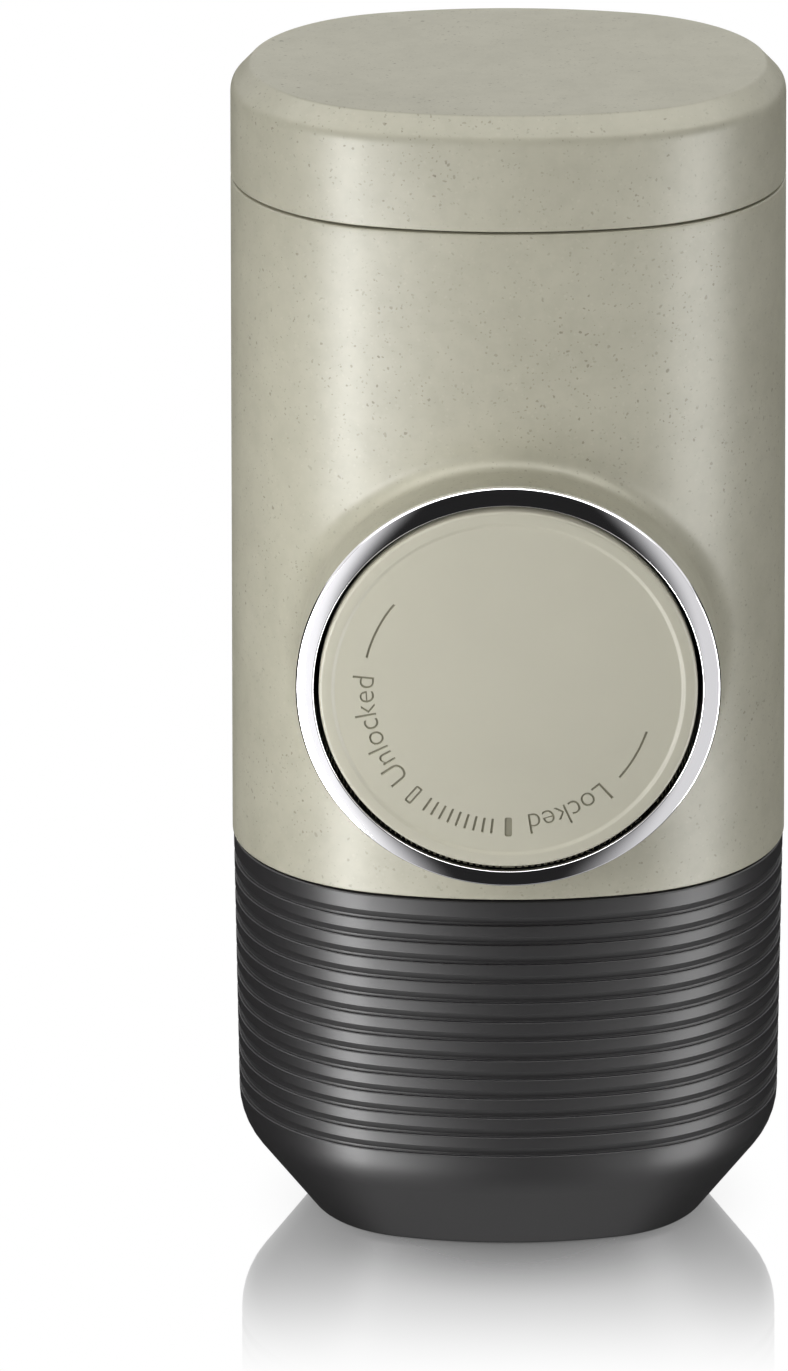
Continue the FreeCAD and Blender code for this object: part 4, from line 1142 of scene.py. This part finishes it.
worldLook = {
    "fill": 0.33,  # what falls on the object from everywhere
    "room": 0.018,  # what gloss and metal see round the room
    "below": 0.5,  # and straight down
    "left": 1.15,  # and in its bright walls left and right of the front
    "right": 0.8,
    "rise": (0.12, 0.38),  # where the walls begin and end, as the sideways part of the direction
    "fall": (0.62, 0.80),
    "wallFront": (0.0, 0.3),  # forward part of the direction over which they come up
    "narrower": 0.13,  # how far they draw back above the horizon
    "narrowing": (-0.5, -0.05),  # upward part of the direction over which they do so
    "belowFrom": (0.85, 0.95),  # downward part where "below" begins
    "sky": (0.07, 0.15),  # upward part where the white backdrop behind the object begins
    "skyBack": (0.0, 0.2),  # backward part, the same
    "skySide": (0.7, 0.85),  # sideways part, the same
    "ceiling": 6.0,  # bright patch above the front
    "ceilingFrom": (0.80, 0.93),  # upward part where it begins
    "ceilingLower": 0.35,  # how much lower it begins to the sides
    "ceilingBack": (-0.1, 0.1),  # backward part where it ends
    "ceilingLater": 0.6,  # how much further back it ends to the sides
}


def makeWorld():
    world = bpy.data.worlds.new("studio")
    bpy.context.scene.world = world
    look = worldLook
    shader = Shader("studio", world)
    background = shader.tree.nodes["Background"]
    direction = shader.node("TexCoord", output="Generated")
    sideways, back, up = (shader.node("SeparateXYZ", {}, {"Vector": direction}, axis) for axis in "XYZ")
    camera = shader.node("LightPath", output="Is Camera Ray")
    glossy = shader.node("LightPath", output="Is Glossy Ray")
    drawnBack = look["narrower"] * shader.between(up, *look["narrowing"])

    def wall(away, level):
        rise = shader.between(away - drawnBack, *look["rise"])
        return level * rise * (1 - shader.between(away, *look["fall"]))

    walls = wall(0 - sideways, look["left"]) + wall(sideways, look["right"])
    room = look["room"] + walls * shader.between(0 - back, *look["wallFront"])
    room = room + look["below"] * shader.between(0 - up, *look["belowFrom"])
    aside = shader.node("Math", {"operation": "ABSOLUTE"}, {0: sideways})
    backdrop = shader.between(back + shader.between(aside, *look["skySide"]), *look["skyBack"])
    sky = shader.between(up, *look["sky"]) * backdrop
    ceiling = shader.between(up + look["ceilingLower"] * aside, *look["ceilingFrom"])
    ceiling = ceiling * (1 - shader.between(back - look["ceilingLater"] * aside, *look["ceilingBack"]))
    room = room + sky * (1 - room) + look["ceiling"] * ceiling
    unseen = look["fill"] + glossy * (room - look["fill"])
    shader.feed(background.inputs["Color"], (1, 1, 1))
    shader.feed(background.inputs["Strength"], unseen + camera * (1 - unseen))


makeWorld()

lampAim = Vector((0, 0, 0.08))  # metres
lamps = {
    # name: azimuth from the front towards +X in degrees, then in metres distance, height, width
    # and tall, then watts and what sees it
    "softboxLeft": (-45, 0.85, -0.25, 0.33, 0.90, 12.8, "gloss"),
    "softboxRight": (64, 0.85, -0.25, 0.54, 0.90, 9.4, "gloss"),
    "key": (-24, 0.50, 0.33, 0.20, 0.30, 0.72, "surface"),
    "near": (-42, 0.13, 0.095, 0.05, 0.06, 0.052, "surface"),
    "side": (66, 0.50, 0.15, 0.20, 0.30, 0.18, "surface"),
    "overhead": (180, 0.35, 0.70, 0.50, 0.40, 1.5, "surface"),
}


def makeLamps():
    for name, (azimuth, distance, height, width, tall, watts, seenBy) in lamps.items():
        lamp = bpy.data.lights.new(name, "AREA")
        lamp.shape = "RECTANGLE"
        lamp.size = width
        lamp.size_y = tall
        lamp.energy = watts
        holder = bpy.data.objects.new(name, lamp)
        turn = math.radians(azimuth)
        holder.location = (distance * math.sin(turn), -distance * math.cos(turn), height)
        holder.rotation_euler = (lampAim - holder.location).to_track_quat("-Z", "Y").to_euler()
        holder.visible_glossy = seenBy == "gloss"
        holder.visible_diffuse = seenBy == "surface"
        bpy.context.scene.collection.objects.link(holder)


makeLamps()

cameraSize = {
    "pitch": 20.5,  # degrees downwards
    "distance": 1144,  # mm from the point on the object's axis that it looks at
    "aim": 70.75,  # height of that point
    "frame": (788, 1371),
    "focal": 8933,  # in pixels of the frame
    "axisColumn": 508.3,  # column of the frame on which the object's axis lies
    "sensor": 36,
}


def makeCamera():
    size = cameraSize
    wide, tall = size["frame"]
    lens = bpy.data.cameras.new("camera")
    lens.sensor_width = size["sensor"]
    lens.lens = size["focal"] / tall * size["sensor"]
    lens.shift_x = (wide / 2 - size["axisColumn"]) / tall
    holder = bpy.data.objects.new("camera", lens)
    pitch = math.radians(size["pitch"])
    back = Vector((0, -math.cos(pitch), math.sin(pitch))) * size["distance"]
    holder.location = (Vector((0, 0, size["aim"])) + back) * mm
    holder.rotation_euler = (math.pi / 2 - pitch, 0, 0)
    bpy.context.scene.collection.objects.link(holder)
    bpy.context.scene.camera = holder


makeCamera()
bpy.context.scene.view_settings.view_transform = "Standard"
print("stage made")
